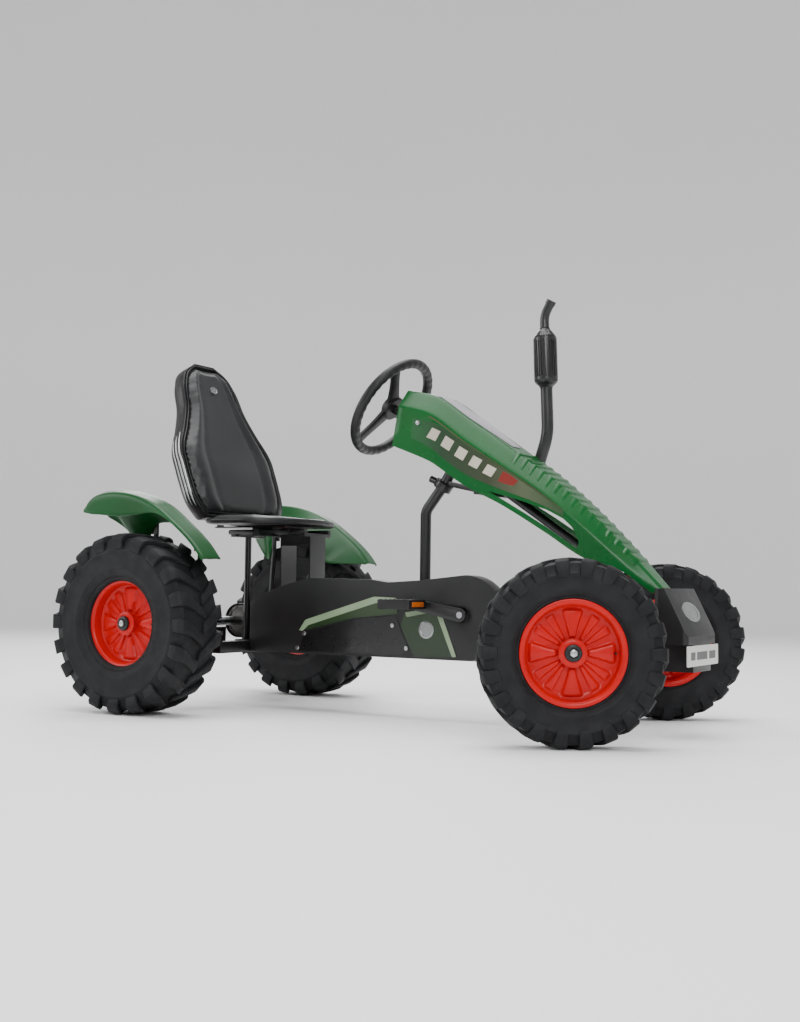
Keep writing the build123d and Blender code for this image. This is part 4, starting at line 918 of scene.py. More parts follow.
@dataclass
class Hood:
    """The green hood with its slots, louvres, film and inlay."""

    rear: float = 616.0
    tip: float = 1285.0
    rake: tuple[float, float] = (-26.0, -22.0)
    wall: float = 3.0
    stations: tuple[tuple[float, ...], ...] = (
        (0.00, 835, 45, 690, 58, 92), (0.13, 812, 50, 645, 57, 92), (0.26, 752, 52, 588, 55, 90),
        (0.43, 675, 50, 531, 52, 86), (0.59, 599, 44, 467, 48, 79), (0.74, 514, 40, 404, 42, 70),
        (0.87, 430, 34, 375, 36, 55), (1.00, 338, 6, 325, 28, 34),
    )
    slot_top: tuple[tuple[float, float], ...] = (
        (0.37, 16), (0.45, 29), (0.515, 41), (0.60, 56), (0.66, 62), (0.69, 57), (0.707, 46), (0.718, 30),
    )
    bar_height: float = 14.0

    def measure(self, share: float) -> list[float]:
        """Top height, crease drop, bottom height and the two half widths at a share of the length."""
        return through(self.stations, share)

    def along(self, share: float) -> float:
        """The place along the kart of a share of the length."""
        return self.rear + (self.tip - self.rear) * share

    def lean(self, share: float, drop: float, height: float) -> float:
        """How far a section leans back.

        Args:
            share: place along the hood.
            drop: distance below the top.
            height: the section's height.

        Returns:
            The shift along X in millimetres.
        """
        rear = max(0.0, 1 - share / 0.13) * self.rake[0]
        tip = max(0.0, (share - 0.87) / 0.13) * self.rake[1]
        return (rear + tip) * drop / max(height, 1.0)

    def section(self, share: float, proud: float = 0.0) -> list[tuple[float, float]]:
        """One half section from the middle of the top to the lower edge, as (y, z)."""
        top, crease, bottom, half_top, half_side = self.measure(share)
        corners = [
            (0, top + proud), (half_top + proud * 0.6, top + proud * 0.8),
            (half_side + proud, top - crease + proud * 0.3), (half_side + proud, bottom),
        ]
        line = rounded(corners, 5.5)
        made = [line[0]]
        counts = [6] + [1] * 3 + [5] + [1] * 3 + [8]
        for (start, end), count in zip(zip(line, line[1:]), counts):
            a, b = Vector(start), Vector(end)
            made += [tuple(a.lerp(b, step / count)) for step in range(1, count + 1)]
        return made

    def row(self, share: float) -> list[Vector]:
        """One full section in the frame, from the right lower edge to the left one."""
        top, _, bottom, _, _ = self.measure(share)
        half = self.section(share)
        full = [(-y, z) for y, z in reversed(half[1:])] + half
        return [at(self.along(share) + self.lean(share, top - z, top - bottom), y, z) for y, z in full]

    def shell(self) -> bpy.types.Object:
        """Builds the shell and cuts its slots and the pipe's hole."""
        shares = list(np.linspace(0, 1, 56))
        rows = [self.row(share) for share in shares]
        nose = sum(rows[-1], Vector()) / len(rows[-1])
        rows.append([point.lerp(nose, 0.5) + Vector((0.6 * MM, 0, 0)) for point in rows[-1]])
        rows.append([nose + Vector((0.8 * MM, 0, 0))] * len(rows[-1]))
        piece = laid("hood_shell", rows)
        top = max(piece.data.polygons, key=lambda polygon: polygon.center.z)
        if top.normal.z < 0:
            with editing(piece):
                bpy.ops.mesh.flip_normals()
        modify(piece, "SOLIDIFY", thickness=self.wall * MM, offset=-1, use_even_offset=True)
        upper = [(self.along(s), self.measure(s)[2] + rise) for s, rise in self.slot_top]
        lower = [(self.along(s), self.measure(s)[2] + self.bar_height) for s in (0.712, 0.65, 0.59, 0.52, 0.43)]
        ring = rounded(upper + lower + upper[:1], 4)
        tool = laid("slot_tool", [[at(x, y, z) for x, z in ring] for y in (-120, 120)], closed=True, capped=True)
        cut(piece, tool)
        hole = bar("pipe_tool", [at(918, 60, 610), at(956, 60, 726)], 15.9 * MM, 8)
        cut(piece, hole)
        modify(piece, "BEVEL", width=0.8 * MM, segments=2, limit_method="ANGLE", angle_limit=math.radians(55))
        return stand_for(dress(smooth(piece, 35), GREEN), "hood")

    def louvres(self) -> None:
        """Builds the row of slanted ribs over the front part of the top."""
        ribs = []
        for index in range(15):
            share = 0.47 + index * 0.0315
            top, crease, _, half_top, half_side = self.measure(share)
            rows = []
            reach = 0.62
            edge_y = half_top + (half_side - half_top) * reach
            edge_z = top - crease * reach
            for y, z, lift, ahead in (
                (-edge_y, edge_z, 0.4, -9.0), (-half_top - 1, top - 1, 3.2, -2.5), (-half_top + 9, top, 3.8, 0.0),
                (half_top - 9, top, 3.8, 0.0), (half_top + 1, top - 1, 3.2, -2.5), (edge_y, edge_z, 0.4, -9.0),
            ):
                x = self.along(share) + ahead
                slope = (self.measure(share + 0.01)[0] - top) / (self.along(0.01) - self.along(0))
                row = []
                for step, height in ((-5.5, -1.5), (-4.0, lift * 0.7), (2.5, lift), (4.2, lift * 0.5), (5.5, -1.5)):
                    row.append(at(x + step, y, z + height + slope * (step + ahead)))
                rows.append(row)
            ribs.append(smooth(laid(f"louvre_{index}", rows), 60))
        piece = joined("hood_louvres", ribs)
        tidy(piece, outwards=False)
        top = max(piece.data.polygons, key=lambda polygon: abs(polygon.normal.z))
        if top.normal.z < 0:
            with editing(piece):
                bpy.ops.mesh.flip_normals()
        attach(dress(piece, GREEN), "chassis")

    def film(self, name: str, side: Side, outline: Sequence[tuple[float, float]], proud: float,
             finish: Finish, count: int = 24, slant: float = 0.0) -> None:
        """Lays a thin printed film on one side of the hood.

        Args:
            name: the piece's name.
            side: which side.
            outline: (share, low, high) rows, with heights as shares of the side wall.
            proud: how far it stands off the wall, in millimetres.
            finish: its finish.
            count: steps along it.
            slant: how far its upper edge leads its lower one, as a share of the hood's length.
        """
        rows = []
        for share in np.linspace(outline[0][0], outline[-1][0], count):
            low, high = through(outline, share)
            top, crease, bottom, _, _ = self.measure(share)
            wall_top = top - crease
            row = []
            for level in np.linspace(low, high, 5):
                z = bottom + (wall_top - bottom) * level
                place = share + slant * (level - low) / (high - low)
                width = self.measure(place)[4]
                x = self.along(place) + self.lean(place, top - z, top - bottom)
                row.append(at(x, side.value * (width + proud), z))
            rows.append(row)
        piece = laid(f"{name}_{side.word}", rows, flip=side is Side.RIGHT)
        if sum(polygon.normal.y for polygon in piece.data.polygons) * side.value < 0:
            with editing(piece):
                bpy.ops.mesh.flip_normals()
        modify(piece, "SOLIDIFY", thickness=0.25 * MM, offset=-1)
        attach(dress(piece, finish), "chassis")

    def graphics(self) -> None:
        """Lays the faded field, its stripes and accents on both sides."""
        fade = BandFinish("side_fade", (0, 0, 0), (0, 0, 0), 0.34, 0.05, coat=0.3, scale=300, relief=0.04,
                          axis=0, low=at(650, 0, 0).x, high=at(1075, 0, 0).x, stops=(
                              (0.0, (0.0020, 0.074, 0.0135)), (0.20, (0.007, 0.032, 0.009)),
                              (0.50, (0.026, 0.034, 0.013)), (0.72, (0.070, 0.088, 0.045)),
                              (1.0, (0.008, 0.052, 0.012))))
        for side in Side:
            self.film("side_field", side, ((0.06, 0.34, 0.80), (0.20, 0.26, 0.90), (0.40, 0.36, 0.93),
                                           (0.55, 0.62, 0.94), (0.66, 0.82, 0.95)), 0.5, fade, 40)
            self.film("crease_stripe", side, ((0.12, 0.93, 0.965), (0.40, 0.95, 0.985), (0.66, 0.96, 0.99)),
                      0.6, PRINT_BROWN)
            for index in range(5):
                start = 0.115 + index * 0.058
                low = 0.48 + index * 0.012
                self.film(f"slash_{index}", side, ((start, low, low + 0.20), (start + 0.020, low + 0.01, low + 0.21),
                                                   (start + 0.036, low + 0.02, low + 0.22)), 0.9, CREAM, 6, 0.022)
            self.film("accent", side, ((0.41, 0.55, 0.80), (0.44, 0.60, 0.82), (0.47, 0.68, 0.80)),
                      0.8, PRINT_RED, 10, 0.02)

    def build(self) -> None:
        """Builds the hood and everything on it."""
        self.shell()
        self.louvres()
        self.graphics()
        softened("hood_inlay", 1.2 * MM)
        softened("dash_panel", 1.0 * MM)
        LOG.info("hood: shell, louvres and films")


# Fenders


@dataclass
class Fenders:
    """The two arched rear fenders."""

    ridge_y: float = 340.0
    out_y: float = 400.0
    wall: float = 3.4
    stations: tuple[tuple[float, ...], ...] = (
        (35, 297, 290, 289, 333, 8), (42, 297, 290, 250, 298, 8), (50, 297, 290, 221, 270, 8),
        (62, 301, 294, 233, 270, 8), (75, 317, 309, 261, 270, 18), (88, 335, 326, 266, 270, 48),
        (100, 354, 343, 255, 270, 64), (108, 367, 353, 212, 270, 61), (114, 380, 357, 196, 270, 50),
        (117, 382, 354, 265, 272, 38), (121, 366, 344, 325, 312, 10),
    )

    def skin(self, angle: float) -> list[tuple[float, float]]:
        """One section's outer line from the skirt to the inner edge, as (y, radius)."""
        ridge, outer, inner, inner_y, skirt = through(self.stations, angle)
        corners = [(self.out_y + 2, outer - skirt), (self.out_y, outer - 1), (self.ridge_y, ridge - 1),
                   (inner_y, inner)]
        line = rounded(corners, 11, 4)
        counts = [5] + [1] * 4 + [5] + [1] * 4 + [9]
        made = [line[0]]
        for (start, end), count in zip(zip(line, line[1:]), counts):
            a, b = Vector(start), Vector(end)
            made += [tuple(a.lerp(b, step / count)) for step in range(1, count + 1)]
        return made

    def build_one(self, side: Side) -> bpy.types.Object:
        """Builds one fender."""
        rows = []
        for angle in np.linspace(35, 121, 66):
            turn = math.radians(angle)
            rows.append([at(radius * math.cos(turn), side.value * y, 230 + radius * math.sin(turn))
                         for y, radius in self.skin(float(angle))])
        piece = laid(f"fender_shell_{side.word}", rows)
        top = max(piece.data.polygons, key=lambda polygon: polygon.center.z)
        if top.normal.z < 0:
            with editing(piece):
                bpy.ops.mesh.flip_normals()
        modify(piece, "SOLIDIFY", thickness=self.wall * MM, offset=-1)
        modify(piece, "BEVEL", width=1.1 * MM, segments=2, limit_method="ANGLE", angle_limit=math.radians(60))
        dress(smooth(piece, 40), FENDER_GREEN)
        return stand_for(piece, f"fender_{side.word}")

    def build(self) -> None:
        """Builds both fenders."""
        for side in Side:
            self.build_one(side)
        LOG.info("fenders: left and right")


# Seat


@dataclass
class Seat:
    """The bucket seat: padded back and pan on moulded shells, with piping and side stripes."""

    foot: tuple[float, float] = (66.0, 505.0)
    head: tuple[float, float] = (-100.0, 960.0)
    half: float = 204.0
    outline: tuple[tuple[float, float], ...] = (
        (0, 0.80), (40, 0.94), (110, 1.0), (210, 0.97), (270, 0.80), (330, 0.66), (410, 0.56), (452, 0.42),
        (478, 0.2),
    )
    start: float = 14.0
    cap: float = 7.0

    def width(self, up: float) -> float:
        """The back's half width at a distance up it, in millimetres."""
        share = through(self.outline, up)[0]
        return self.half * share

    def place(self, up: float, y: float, back: float) -> Vector:
        """A point of the seat back.

        Args:
            up: distance up the back from its foot.
            y: distance to the left.
            back: depth behind the front surface.

        Returns:
            The place in the frame.
        """
        line = Vector((self.head[0] - self.foot[0], self.head[1] - self.foot[1]))
        line.normalize()
        up = up + self.start
        return at(self.foot[0] + line.x * up - line.y * back, y, self.foot[1] + line.y * up + line.x * back)

    def edge_loop(self, inset: float, back: float, count: int = 72) -> list[Vector]:
        """A loop round the back's outline, inset and at one depth."""
        low, high = inset, 478 - inset * 0.6
        ups = low + (high - low) * (1 - np.cos(np.linspace(0, math.pi, count))) / 2
        right = [(-(self.width(up) - inset), up) for up in ups]
        left = [(self.width(up) - inset, up) for up in reversed(ups)]
        return [self.place(up, y, back) for y, up in right + left]

    def swell(self, piece: bpy.types.Object, limit: float) -> None:
        """Inflates a pad as cloth under pressure and holds its points to a limit.

        Args:
            piece: the pad's closed mesh.
            limit: how far a point may move, in metres.
        """
        modify(piece, "REMESH", mode="VOXEL", voxel_size=5.5 * MM)
        before = np.empty(len(piece.data.vertices) * 3)
        piece.data.vertices.foreach_get("co", before)
        before = before.reshape(-1, 3)
        take(piece)
        cloth = piece.modifiers.new("swell", "CLOTH")
        cloth.settings.use_pressure = True
        cloth.settings.uniform_pressure_force = 4.0
        cloth.settings.effector_weights.gravity = 0.0
        cloth.settings.quality = 4
        for number in range(1, 21):
            bpy.context.scene.frame_set(number)
        bpy.ops.object.modifier_apply(modifier=cloth.name)
        after = np.empty(len(before) * 3)
        piece.data.vertices.foreach_get("co", after)
        shift = after.reshape(-1, 3) - before
        length = np.linalg.norm(shift, axis=1, keepdims=True)
        shift *= np.minimum(1.0, limit / np.maximum(length, 1e-9))
        piece.data.vertices.foreach_set("co", (before + shift).ravel())
        piece.data.update()
        bpy.context.scene.frame_set(1)
        modify(piece, "SMOOTH", factor=0.5, iterations=6)
        modify(piece, "SUBSURF", levels=1, render_levels=1)

    def back_pad(self) -> None:
        """Builds the padded front of the back, with raised bolsters."""
        rows = []
        for up in np.concatenate([[9], np.linspace(14, 462, 46), [468]]):
            edge = self.width(float(up)) - 14
            pinch = 0.35 if up in (9, 468) else 1.0
            row = []
            for share in np.linspace(-1, 1, 25):
                bolster = math.exp(-(((abs(share) - 0.80) / 0.16) ** 2))
                channel = math.exp(-(((abs(share) - 0.58) / 0.05) ** 2))
                rise = (1 - abs(share) ** 6) * (9 - 5 * (1 - abs(share) ** 2) + 9 * bolster - 4 * channel)
                lumbar = 5 * math.exp(-(((up - 120) / 60) ** 2)) * (1 - share**2)
                row.append(self.place(float(up), share * edge, 14 - (rise + lumbar) * pinch))
            for share in np.linspace(1, -1, 25)[1:-1]:
                row.append(self.place(float(up), share * edge, 26))
            row.append(row[0])
            rows.append(row)
        piece = laid("seat_back_pad", rows, closed=True, capped=True)
        self.swell(piece, self.cap * MM)
        dress(smooth(piece, 60), VINYL)
        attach(piece, "seat")
        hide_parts("seat_back")

    def back_shell(self) -> None:
        """Builds the moulded shell behind the pad, with its rolled rim."""
        rows = []
        for inset, back in ((13, 20), (8, 12.5), (3.5, 11), (0.8, 14), (0, 20), (0.6, 34), (3, 46), (9, 54),
                            (20, 57.5), (60, 57.8)):
            loop = self.edge_loop(inset, back)
            rows.append(loop + [loop[0]])
        piece = laid("seat_back_shell", rows, closed=True, capped=True)
        dress(smooth(piece, 50), PLASTIC)
        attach(piece, "seat")

    def stripes(self) -> None:
        """Builds three silver stripes along each side of the shell."""
        for side in Side:
            parts = []
            for index, back in enumerate((20, 31, 42)):
                ups = np.linspace(34 + index * 5, 252 - index * 10, 44)
                rows = []
                for up in ups:
                    out = self.width(float(up)) - (0.0, 0.6, 2.0)[index]
                    taper = min(1.0, (up - ups[0]) / 40, (ups[-1] - up) / 90)
                    thick = 3.6 * max(0.12, taper)
                    drift = 3.0 * math.sin((up - ups[0]) / (ups[-1] - ups[0]) * math.pi)
                    rows.append([self.place(float(up), side.value * (out + lift), back - drift + across)
                                 for across, lift in ((-thick, -0.4), (-thick * 0.6, 1.3), (0, 1.8),
                                                      (thick * 0.6, 1.3), (thick, -0.4))])
                parts.append(smooth(laid(f"stripe_{side.word}_{index}", rows), 60))
            piece = joined(f"seat_stripes_{side.word}", parts)
            if sum(polygon.normal.y for polygon in piece.data.polygons) * side.value < 0:
                with editing(piece):
                    bpy.ops.mesh.flip_normals()
            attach(dress(piece, SILVER), "seat")

    def piping(self) -> None:
        """Builds the piping where the pad meets the shell, and the sewn seam inside the bolsters."""
        rim = bar("seat_back_piping", self.edge_loop(14.5, 12.5), 2.4 * MM, 3, closed=True)
        seams = []
        for side in Side:
            line = []
            for up in np.linspace(40, 400, 60):
                edge = self.width(float(up)) - 14
                line.append(self.place(float(up), side.value * edge * 0.58, 4.6))
            seams.append(bar(f"seat_seam_{side.word}", line, 1.0 * MM, 2))
        piece = joined("seat_back_seams", [rim] + seams)
        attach(dress(piece, PIPING), "seat")

    def badge(self) -> None:
        """Builds the plain silver disc high on the back."""
        disc = spun("seat_badge", [(0, 2.4 * MM), (10 * MM, 2.2 * MM), (11 * MM, 3.4 * MM), (13.5 * MM, 3.2 * MM),
                                   (14.5 * MM, 1.5 * MM), (14.5 * MM, 0), (0, 0)], 40)
        line = Vector((self.head[0] - self.foot[0], 0, self.head[1] - self.foot[1])).normalized()
        normal = Vector((line.z, 0, -line.x))
        turn = normal.to_track_quat("Z", "Y").to_matrix().to_4x4()
        spot = self.place(392, 0, 2.0)
        moved(disc, Matrix.Translation(spot) @ turn @ Matrix.Scale(0.8, 4, (0, 1, 0)))
        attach(dress(smooth(disc), BADGE), "seat")

    def pan_outline(self, inset: float, count: int = 20) -> list[tuple[float, float]]:
        """The pan's outline as (x, y), from the rear right round the front to the rear left."""
        half = 188 - inset
        nose = 178.0
        reach = 298 - nose - inset
        right = [(52 + inset, -half + 26), (58 + inset, -half + 8), (80, -half)]
        side = [(x, -half) for x in np.linspace(95, nose - 12, 6)]
        front = [(nose + reach * math.sin(t), -half * math.cos(t)) for t in np.linspace(0, math.pi, 2 * count + 1)]
        left_side = [(x, half) for x in np.linspace(nose - 12, 95, 6)]
        left = [(80, half), (58 + inset, half - 8), (52 + inset, half - 26)]
        return right + side + front + left_side + left

    def pan_pad(self) -> None:
        """Builds the padded top of the pan, dished in the middle."""
        outline = self.pan_outline(7)
        loops = []
        centre = Vector((165, 0))
        for share in (1.0, 0.985, 0.94, 0.86, 0.75, 0.6, 0.4, 0.2, 0.02):
            loop = []
            for x, y in outline:
                spot = centre.lerp(Vector((x, y)), share)
                rim = math.exp(-(((share - 0.86) / 0.14) ** 2))
                level = {1.0: 503, 0.985: 508}.get(share, 508 + 7 * rim)
                front = max(0.0, (spot.x - 200) / 98) * 8
                loop.append(at(spot.x, spot.y, level - front * share))
            loops.append(loop + [loop[0]])
        under = []
        for share in (0.02, 0.5, 0.97, 1.0):
            loop = [at(centre.lerp(Vector((x, y)), share).x, centre.lerp(Vector((x, y)), share).y,
                       499 if share < 1 else 501) for x, y in outline]
            under.append(loop + [loop[0]])
        piece = laid("seat_pan_pad", list(reversed(loops)) + list(reversed(under)), closed=True, capped=True)
        self.swell(piece, 5 * MM)
        dress(smooth(piece, 60), VINYL)
        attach(piece, "seat")
        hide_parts("seat_pan")

    def pan_shell(self) -> None:
        """Builds the moulded tray under the pan's pad, with a rolled edge and piping."""
        rows = []
        for inset, level in ((10, 504), (6, 507.5), (2.5, 507.5), (0.4, 504.5), (0, 500), (2, 495.5), (8, 492.9),
                             (40, 492.6)):
            loop = [at(x, y, level) for x, y in self.pan_outline(inset)]
            rows.append(loop + [loop[0]])
        piece = laid("seat_pan_shell", rows, closed=True, capped=True)
        dress(smooth(piece, 50), PLASTIC)
        pipe = bar("seat_pan_piping", [at(x, y, 508) for x, y in self.pan_outline(8.5)], 2.2 * MM, 3, closed=True)
        dress(pipe, PIPING)
        whole = joined("seat_pan_tray", [piece, pipe])
        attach(whole, "seat")

    def build(self) -> None:
        """Builds the seat and its metal work."""
        self.back_pad()
        self.back_shell()
        self.stripes()
        self.piping()
        self.badge()
        self.pan_pad()
        self.pan_shell()
        softened("seat_frame", 1.2 * MM)
        softened("seat_lever", 1.5 * MM, 3)
        LOG.info("seat: back, pan, stripes and piping")


# Steering wheel


@dataclass
class SteeringWheel:
    """The three-spoked wheel on the column, built about Z with the driver's side up."""

    ring: float = 132.0
    grip: float = 13.8
    spokes: tuple[float, ...] = (-69.0, 69.0, 180.0)

    def rim(self) -> bpy.types.Object:
        """Builds the grip ring with shallow finger waves behind."""
        rows = []
        for index in range(145):
            turn = math.tau * index / 144
            row = []
            for step in range(17):
                around = math.tau * step / 16
                wave = 0.9 * math.cos(36 * turn) * max(0.0, -math.sin(around))
                radius = self.grip - 0.9 + wave
                reach = self.ring + radius * math.cos(around)
                row.append((reach * math.cos(turn) * MM, reach * math.sin(turn) * MM, radius * math.sin(around) * MM))
            rows.append(row)
        return smooth(tidy(laid("wheel_rim", rows, closed=True)), 60)

    def spoke(self, angle: float) -> bpy.types.Object:
        """Builds one waisted spoke, dished towards the boss."""
        rows = []
        for share in np.linspace(0, 1, 12):
            out = 18 + (self.ring - 18) * share
            half = 21 - 15 * share + 11 * share**3
            thick = 6.5 - 1.5 * share
            level = -1.5 * math.sin(math.pi * share)
            row = [(out * MM, side * half * MM, (level + z) * MM) for side, z in (
                (-1.0, -thick * 0.5), (-0.96, thick * 0.7), (-0.70, thick), (-0.25, thick * 0.55),
                (0.25, thick * 0.55), (0.70, thick), (0.96, thick * 0.7), (1.0, -thick * 0.5), (0.6, -thick),
                (-0.6, -thick), (-1.0, -thick * 0.5))]
            rows.append(row)
        piece = laid(f"spoke_{int(angle)}", rows, closed=True, capped=True)
        return moved(smooth(piece, 50), Matrix.Rotation(math.radians(angle + 180), 4, "Z"))

    def build(self) -> None:
        """Builds the wheel and its cap and turns them onto the column."""
        boss = smooth(spun("wheel_boss", [
            (11.1 * MM, -11 * MM), (30 * MM, -11 * MM), (33.5 * MM, -8 * MM), (34 * MM, 2 * MM), (32 * MM, 8 * MM),
            (27 * MM, 10.6 * MM), (11.1 * MM, 10.6 * MM)], 48, ring=True))
        whole = joined("steering_wheel_grip", [self.rim(), boss] + [self.spoke(angle) for angle in self.spokes])
        row = joint("steering_turn")
        up = Vector(row["axis"])
        down = Vector((-up.z, 0, up.x))
        across = up.cross(down)
        base = Matrix((down, across, up)).transposed().to_4x4()
        turn = Matrix.Rotation(math.radians(32), 4, up)
        place = Matrix.Translation(Vector(row["pos_m"])) @ turn @ base
        moved(whole, place)
        stand_for(dress(whole, GRIP), "steering_wheel")
        cap = spun("wheel_cap_disc", [
            (0, 18.6 * MM), (12 * MM, 18.2 * MM), (13 * MM, 17.0 * MM), (15 * MM, 17.0 * MM), (16 * MM, 18.0 * MM),
            (22 * MM, 16.6 * MM), (25.6 * MM, 13.4 * MM), (26 * MM, 11.1 * MM), (0, 11.1 * MM)], 48)
        moved(cap, place)
        stand_for(dress(smooth(cap), PLASTIC), "wheel_hub_cap")
        LOG.info("steering wheel and cap")


# Exhaust


@dataclass
class Exhaust:
    """The upright exhaust with a slotted muffler can and a slanted outlet."""

    y: float = 60.0
    pipe: float = 15.3
    can: float = 29.8
    low: float = 832.0
    high: float = 985.0

    def bend(self, corners: Sequence[tuple[float, float]], radius: float) -> list[Vector]:
        """A line through (x, z) corners with rounded bends."""
        return [at(x, self.y, z) for x, z in filled(rounded(corners, radius, 8), 12)]

    def muffler(self) -> bpy.types.Object:
        """Builds the can by insetting and sinking a slot in every second face."""
        height = (self.high - self.low) * MM
        r = self.can * MM
        piece = spun("muffler_can", [
            (0, 0), (self.pipe * MM, 0), (self.pipe * MM, 2 * MM), (self.pipe * 1.25 * MM, 7 * MM),
            (r - 3 * MM, 14 * MM),
            (r, 20 * MM), (r, height - 26 * MM), (r - 3 * MM, height - 20 * MM), (r * 0.62, height - 9 * MM),
            (13 * MM, height - 3 * MM), (12.2 * MM, height), (0, height)], 28)
        tall = [polygon.index for polygon in piece.data.polygons
                if abs(polygon.normal.z) < 0.05 and polygon.area > 1.0e-3 * (height - 46 * MM) * 5]
        calm()
        for polygon in piece.data.polygons:
            polygon.select = False
        angles = sorted(tall, key=lambda index: math.atan2(piece.data.polygons[index].center.y,
                                                           piece.data.polygons[index].center.x))
        for index in angles[::2]:
            piece.data.polygons[index].select = True
        take(piece)
        bpy.ops.object.mode_set(mode="EDIT")
        bpy.ops.mesh.select_mode(type="FACE")
        bpy.ops.mesh.inset(thickness=1.6 * MM, depth=0, use_individual=True)
        bpy.ops.mesh.inset(thickness=0.5 * MM, depth=-1.6 * MM, use_individual=True)
        bpy.ops.object.mode_set(mode="OBJECT")
        return smooth(piece, 30)

    def build(self) -> None:
        """Builds the pipe, the can, the outlet and their bands."""
        pipe = bar("stack_pipe", self.bend(((928, 640), (953, 716), (948, 834)), 30), self.pipe * MM, 8)
        lean = (942 - 948) / (self.high - self.low)
        tilt = Matrix.Rotation(math.atan(lean), 4, "Y")
        can = moved(self.muffler(), Matrix.Translation(at(948, self.y, self.low)) @ tilt)
        outlet = bar("stack_outlet", self.bend(((942, 984), (941, 1018), (961, 1053)), 16), 11.8 * MM, 8)
        lip = bar("stack_lip", [at(955, self.y, 1042.5), at(960.8, self.y, 1052.6)], 13.0 * MM, 8)
        bands = []
        for share in (0.16, 0.80):
            z = self.low + (self.high - self.low) * share
            band = spun(f"stack_band_{int(share * 100)}", [
                (self.can * MM - 2 * MM, -3 * MM), (self.can * MM + 0.1 * MM, -3 * MM),
                (self.can * MM + 0.1 * MM, 3 * MM), (self.can * MM - 2 * MM, 3 * MM)], 40, ring=True)
            bands.append(moved(smooth(band), Matrix.Translation(at(948 + lean * (z - self.low), self.y, z)) @ tilt))
        whole = joined("exhaust_pipework", [pipe, can, outlet, lip] + bands)
        stand_for(dress(whole, STACK_BLACK), "exhaust_stack")
        LOG.info("exhaust: pipe, can and outlet")


# Guards, nose, pedals and chains


@dataclass
class Trim:
    """The chain guards with their printed panels, the nose block, its plate and the badges."""

    guard_y: float = 78.0

    def panel(self, name: str, corners: Sequence[tuple[float, float]], finish: Finish, proud: float) -> None:
        """Builds one flat printed panel on the right guard.

        Args:
            name: the piece's name.
            corners: its outline as (x, z).
            finish: its finish.
            proud: how far its face stands off the guard, in millimetres.
        """
        ring = rounded(list(corners) + [corners[0]], 4)
        rows = [[at(x, -self.guard_y - level, z) for x, z in ring] for level in (proud - 0.5, proud)]
        piece = laid(name, rows, closed=True, capped=True)
        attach(dress(smooth(piece), finish), "chassis")

    def panels(self) -> None:
        """Builds the pale-edged green panels and the dark panel, and dresses the guard's panel node in the same green.
        """
        deep = BandFinish("panel_green", (0, 0, 0), (0, 0, 0), 0.32, 0.05, coat=0.3, scale=400, relief=0.05,
                          axis=2, low=0.16, high=0.31, stops=(
                              (0.0, (0.006, 0.018, 0.005)), (0.55, (0.014, 0.032, 0.010)),
                              (1.0, (0.030, 0.050, 0.020))))
        self.panel("band_edge", ((300, 214), (320, 242), (534, 306), (600, 304), (606, 290), (540, 290), (330, 228),
                                 (312, 212)), PANEL_PALE, 1.9)
        self.panel("band_field", ((330, 228), (540, 290), (600, 290), (606, 264), (470, 250), (318, 214)), deep, 1.7)
        self.panel("dark_panel", ((300, 160), (316, 208), (470, 246), (600, 258), (640, 172), (610, 160)),
                   PANEL_DARK, 1.2)
        self.panel("wing_edge", ((628, 268), (726, 284), (776, 162), (764, 161), (716, 272), (632, 256)),
                   PANEL_PALE, 1.9)
        self.panel("wing_field", ((630, 256), (714, 270), (762, 161), (654, 158), (614, 236)), deep, 1.7)
        frame["nodes"]["guard_panel"].data.materials.clear()
        frame["nodes"]["guard_panel"].data.materials.append(deep.material())

    def badges(self) -> None:
        """Builds the two plain badges."""
        nose_normal = Vector((107, 0, 54)).normalized()
        profile = [(0, 2.0 * MM), (17 * MM, 1.9 * MM), (18 * MM, 2.6 * MM), (22 * MM, 2.6 * MM), (25 * MM, 1.6 * MM),
                   (25 * MM, 0), (0, 0)]
        nose = smooth(spun("nose_badge", profile, 56))
        centre = at(1342, 0, 283.5)
        stretch = Matrix.Diagonal((1.0, 2.06, 1.0, 1.0))
        axis = Matrix((nose_normal.cross(Vector((0, 1, 0))), Vector((0, 1, 0)), nose_normal)).transposed().to_4x4()
        if axis.determinant() < 0:
            axis = axis @ Matrix.Scale(-1, 4, (1, 0, 0))
        moved(nose, Matrix.Translation(centre) @ axis @ stretch)
        tidy(nose)
        dress(nose, BADGE)
        disc = smooth(spun("guard_badge", [(r * 0.88, h) for r, h in profile], 48))
        place = Matrix.Translation(at(690, -self.guard_y - 1.6, 226)) @ Matrix.Rotation(math.pi / 2, 4, "X")
        moved(disc, place)
        dress(disc, BADGE)
        stand_for(joined("plain_badges", [nose, disc]), "badges")

    def nose(self) -> None:
        """Rounds the nose block, dresses its plate and lays dark bars on the plate."""
        softened("front_bumper", 5 * MM, 4)
        plate = softened("number_plate", 0.8 * MM)
        low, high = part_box("number_plate")
        bars = []
        for index, (start, end) in enumerate(((-0.80, -0.52), (-0.42, 0.26), (0.38, 0.80))):
            middle = (low.z + high.z) / 2
            half = (high.y - low.y) / 2
            bars.append(brick(f"plate_bar_{index}", (high.x - 0.4 * MM, start * half, middle - 9 * MM),
                              (high.x + 0.0 * MM, end * half, middle + 9 * MM), 0.1 * MM, 1))
        mark = joined("plate_bars", bars)
        moved(mark, Matrix.Translation((0.15 * MM, 0, 0)))
        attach(dress(mark, BADGE_DARK), "chassis")
        LOG.info("nose: bumper and plate %s", plate.name)

    def build(self) -> None:
        """Builds all the trim."""
        softened("chain_guard_right", 4.5 * MM, 3)
        softened("chain_guard_left", 2.0 * MM, 2)
        softened("hood_bracket", 1.4 * MM)
        softened("cover_screws", 1.2 * MM)
        softened("fender_brackets", 1.0 * MM)
        self.panels()
        self.badges()
        self.nose()
        LOG.info("trim: guards, panels, badges")


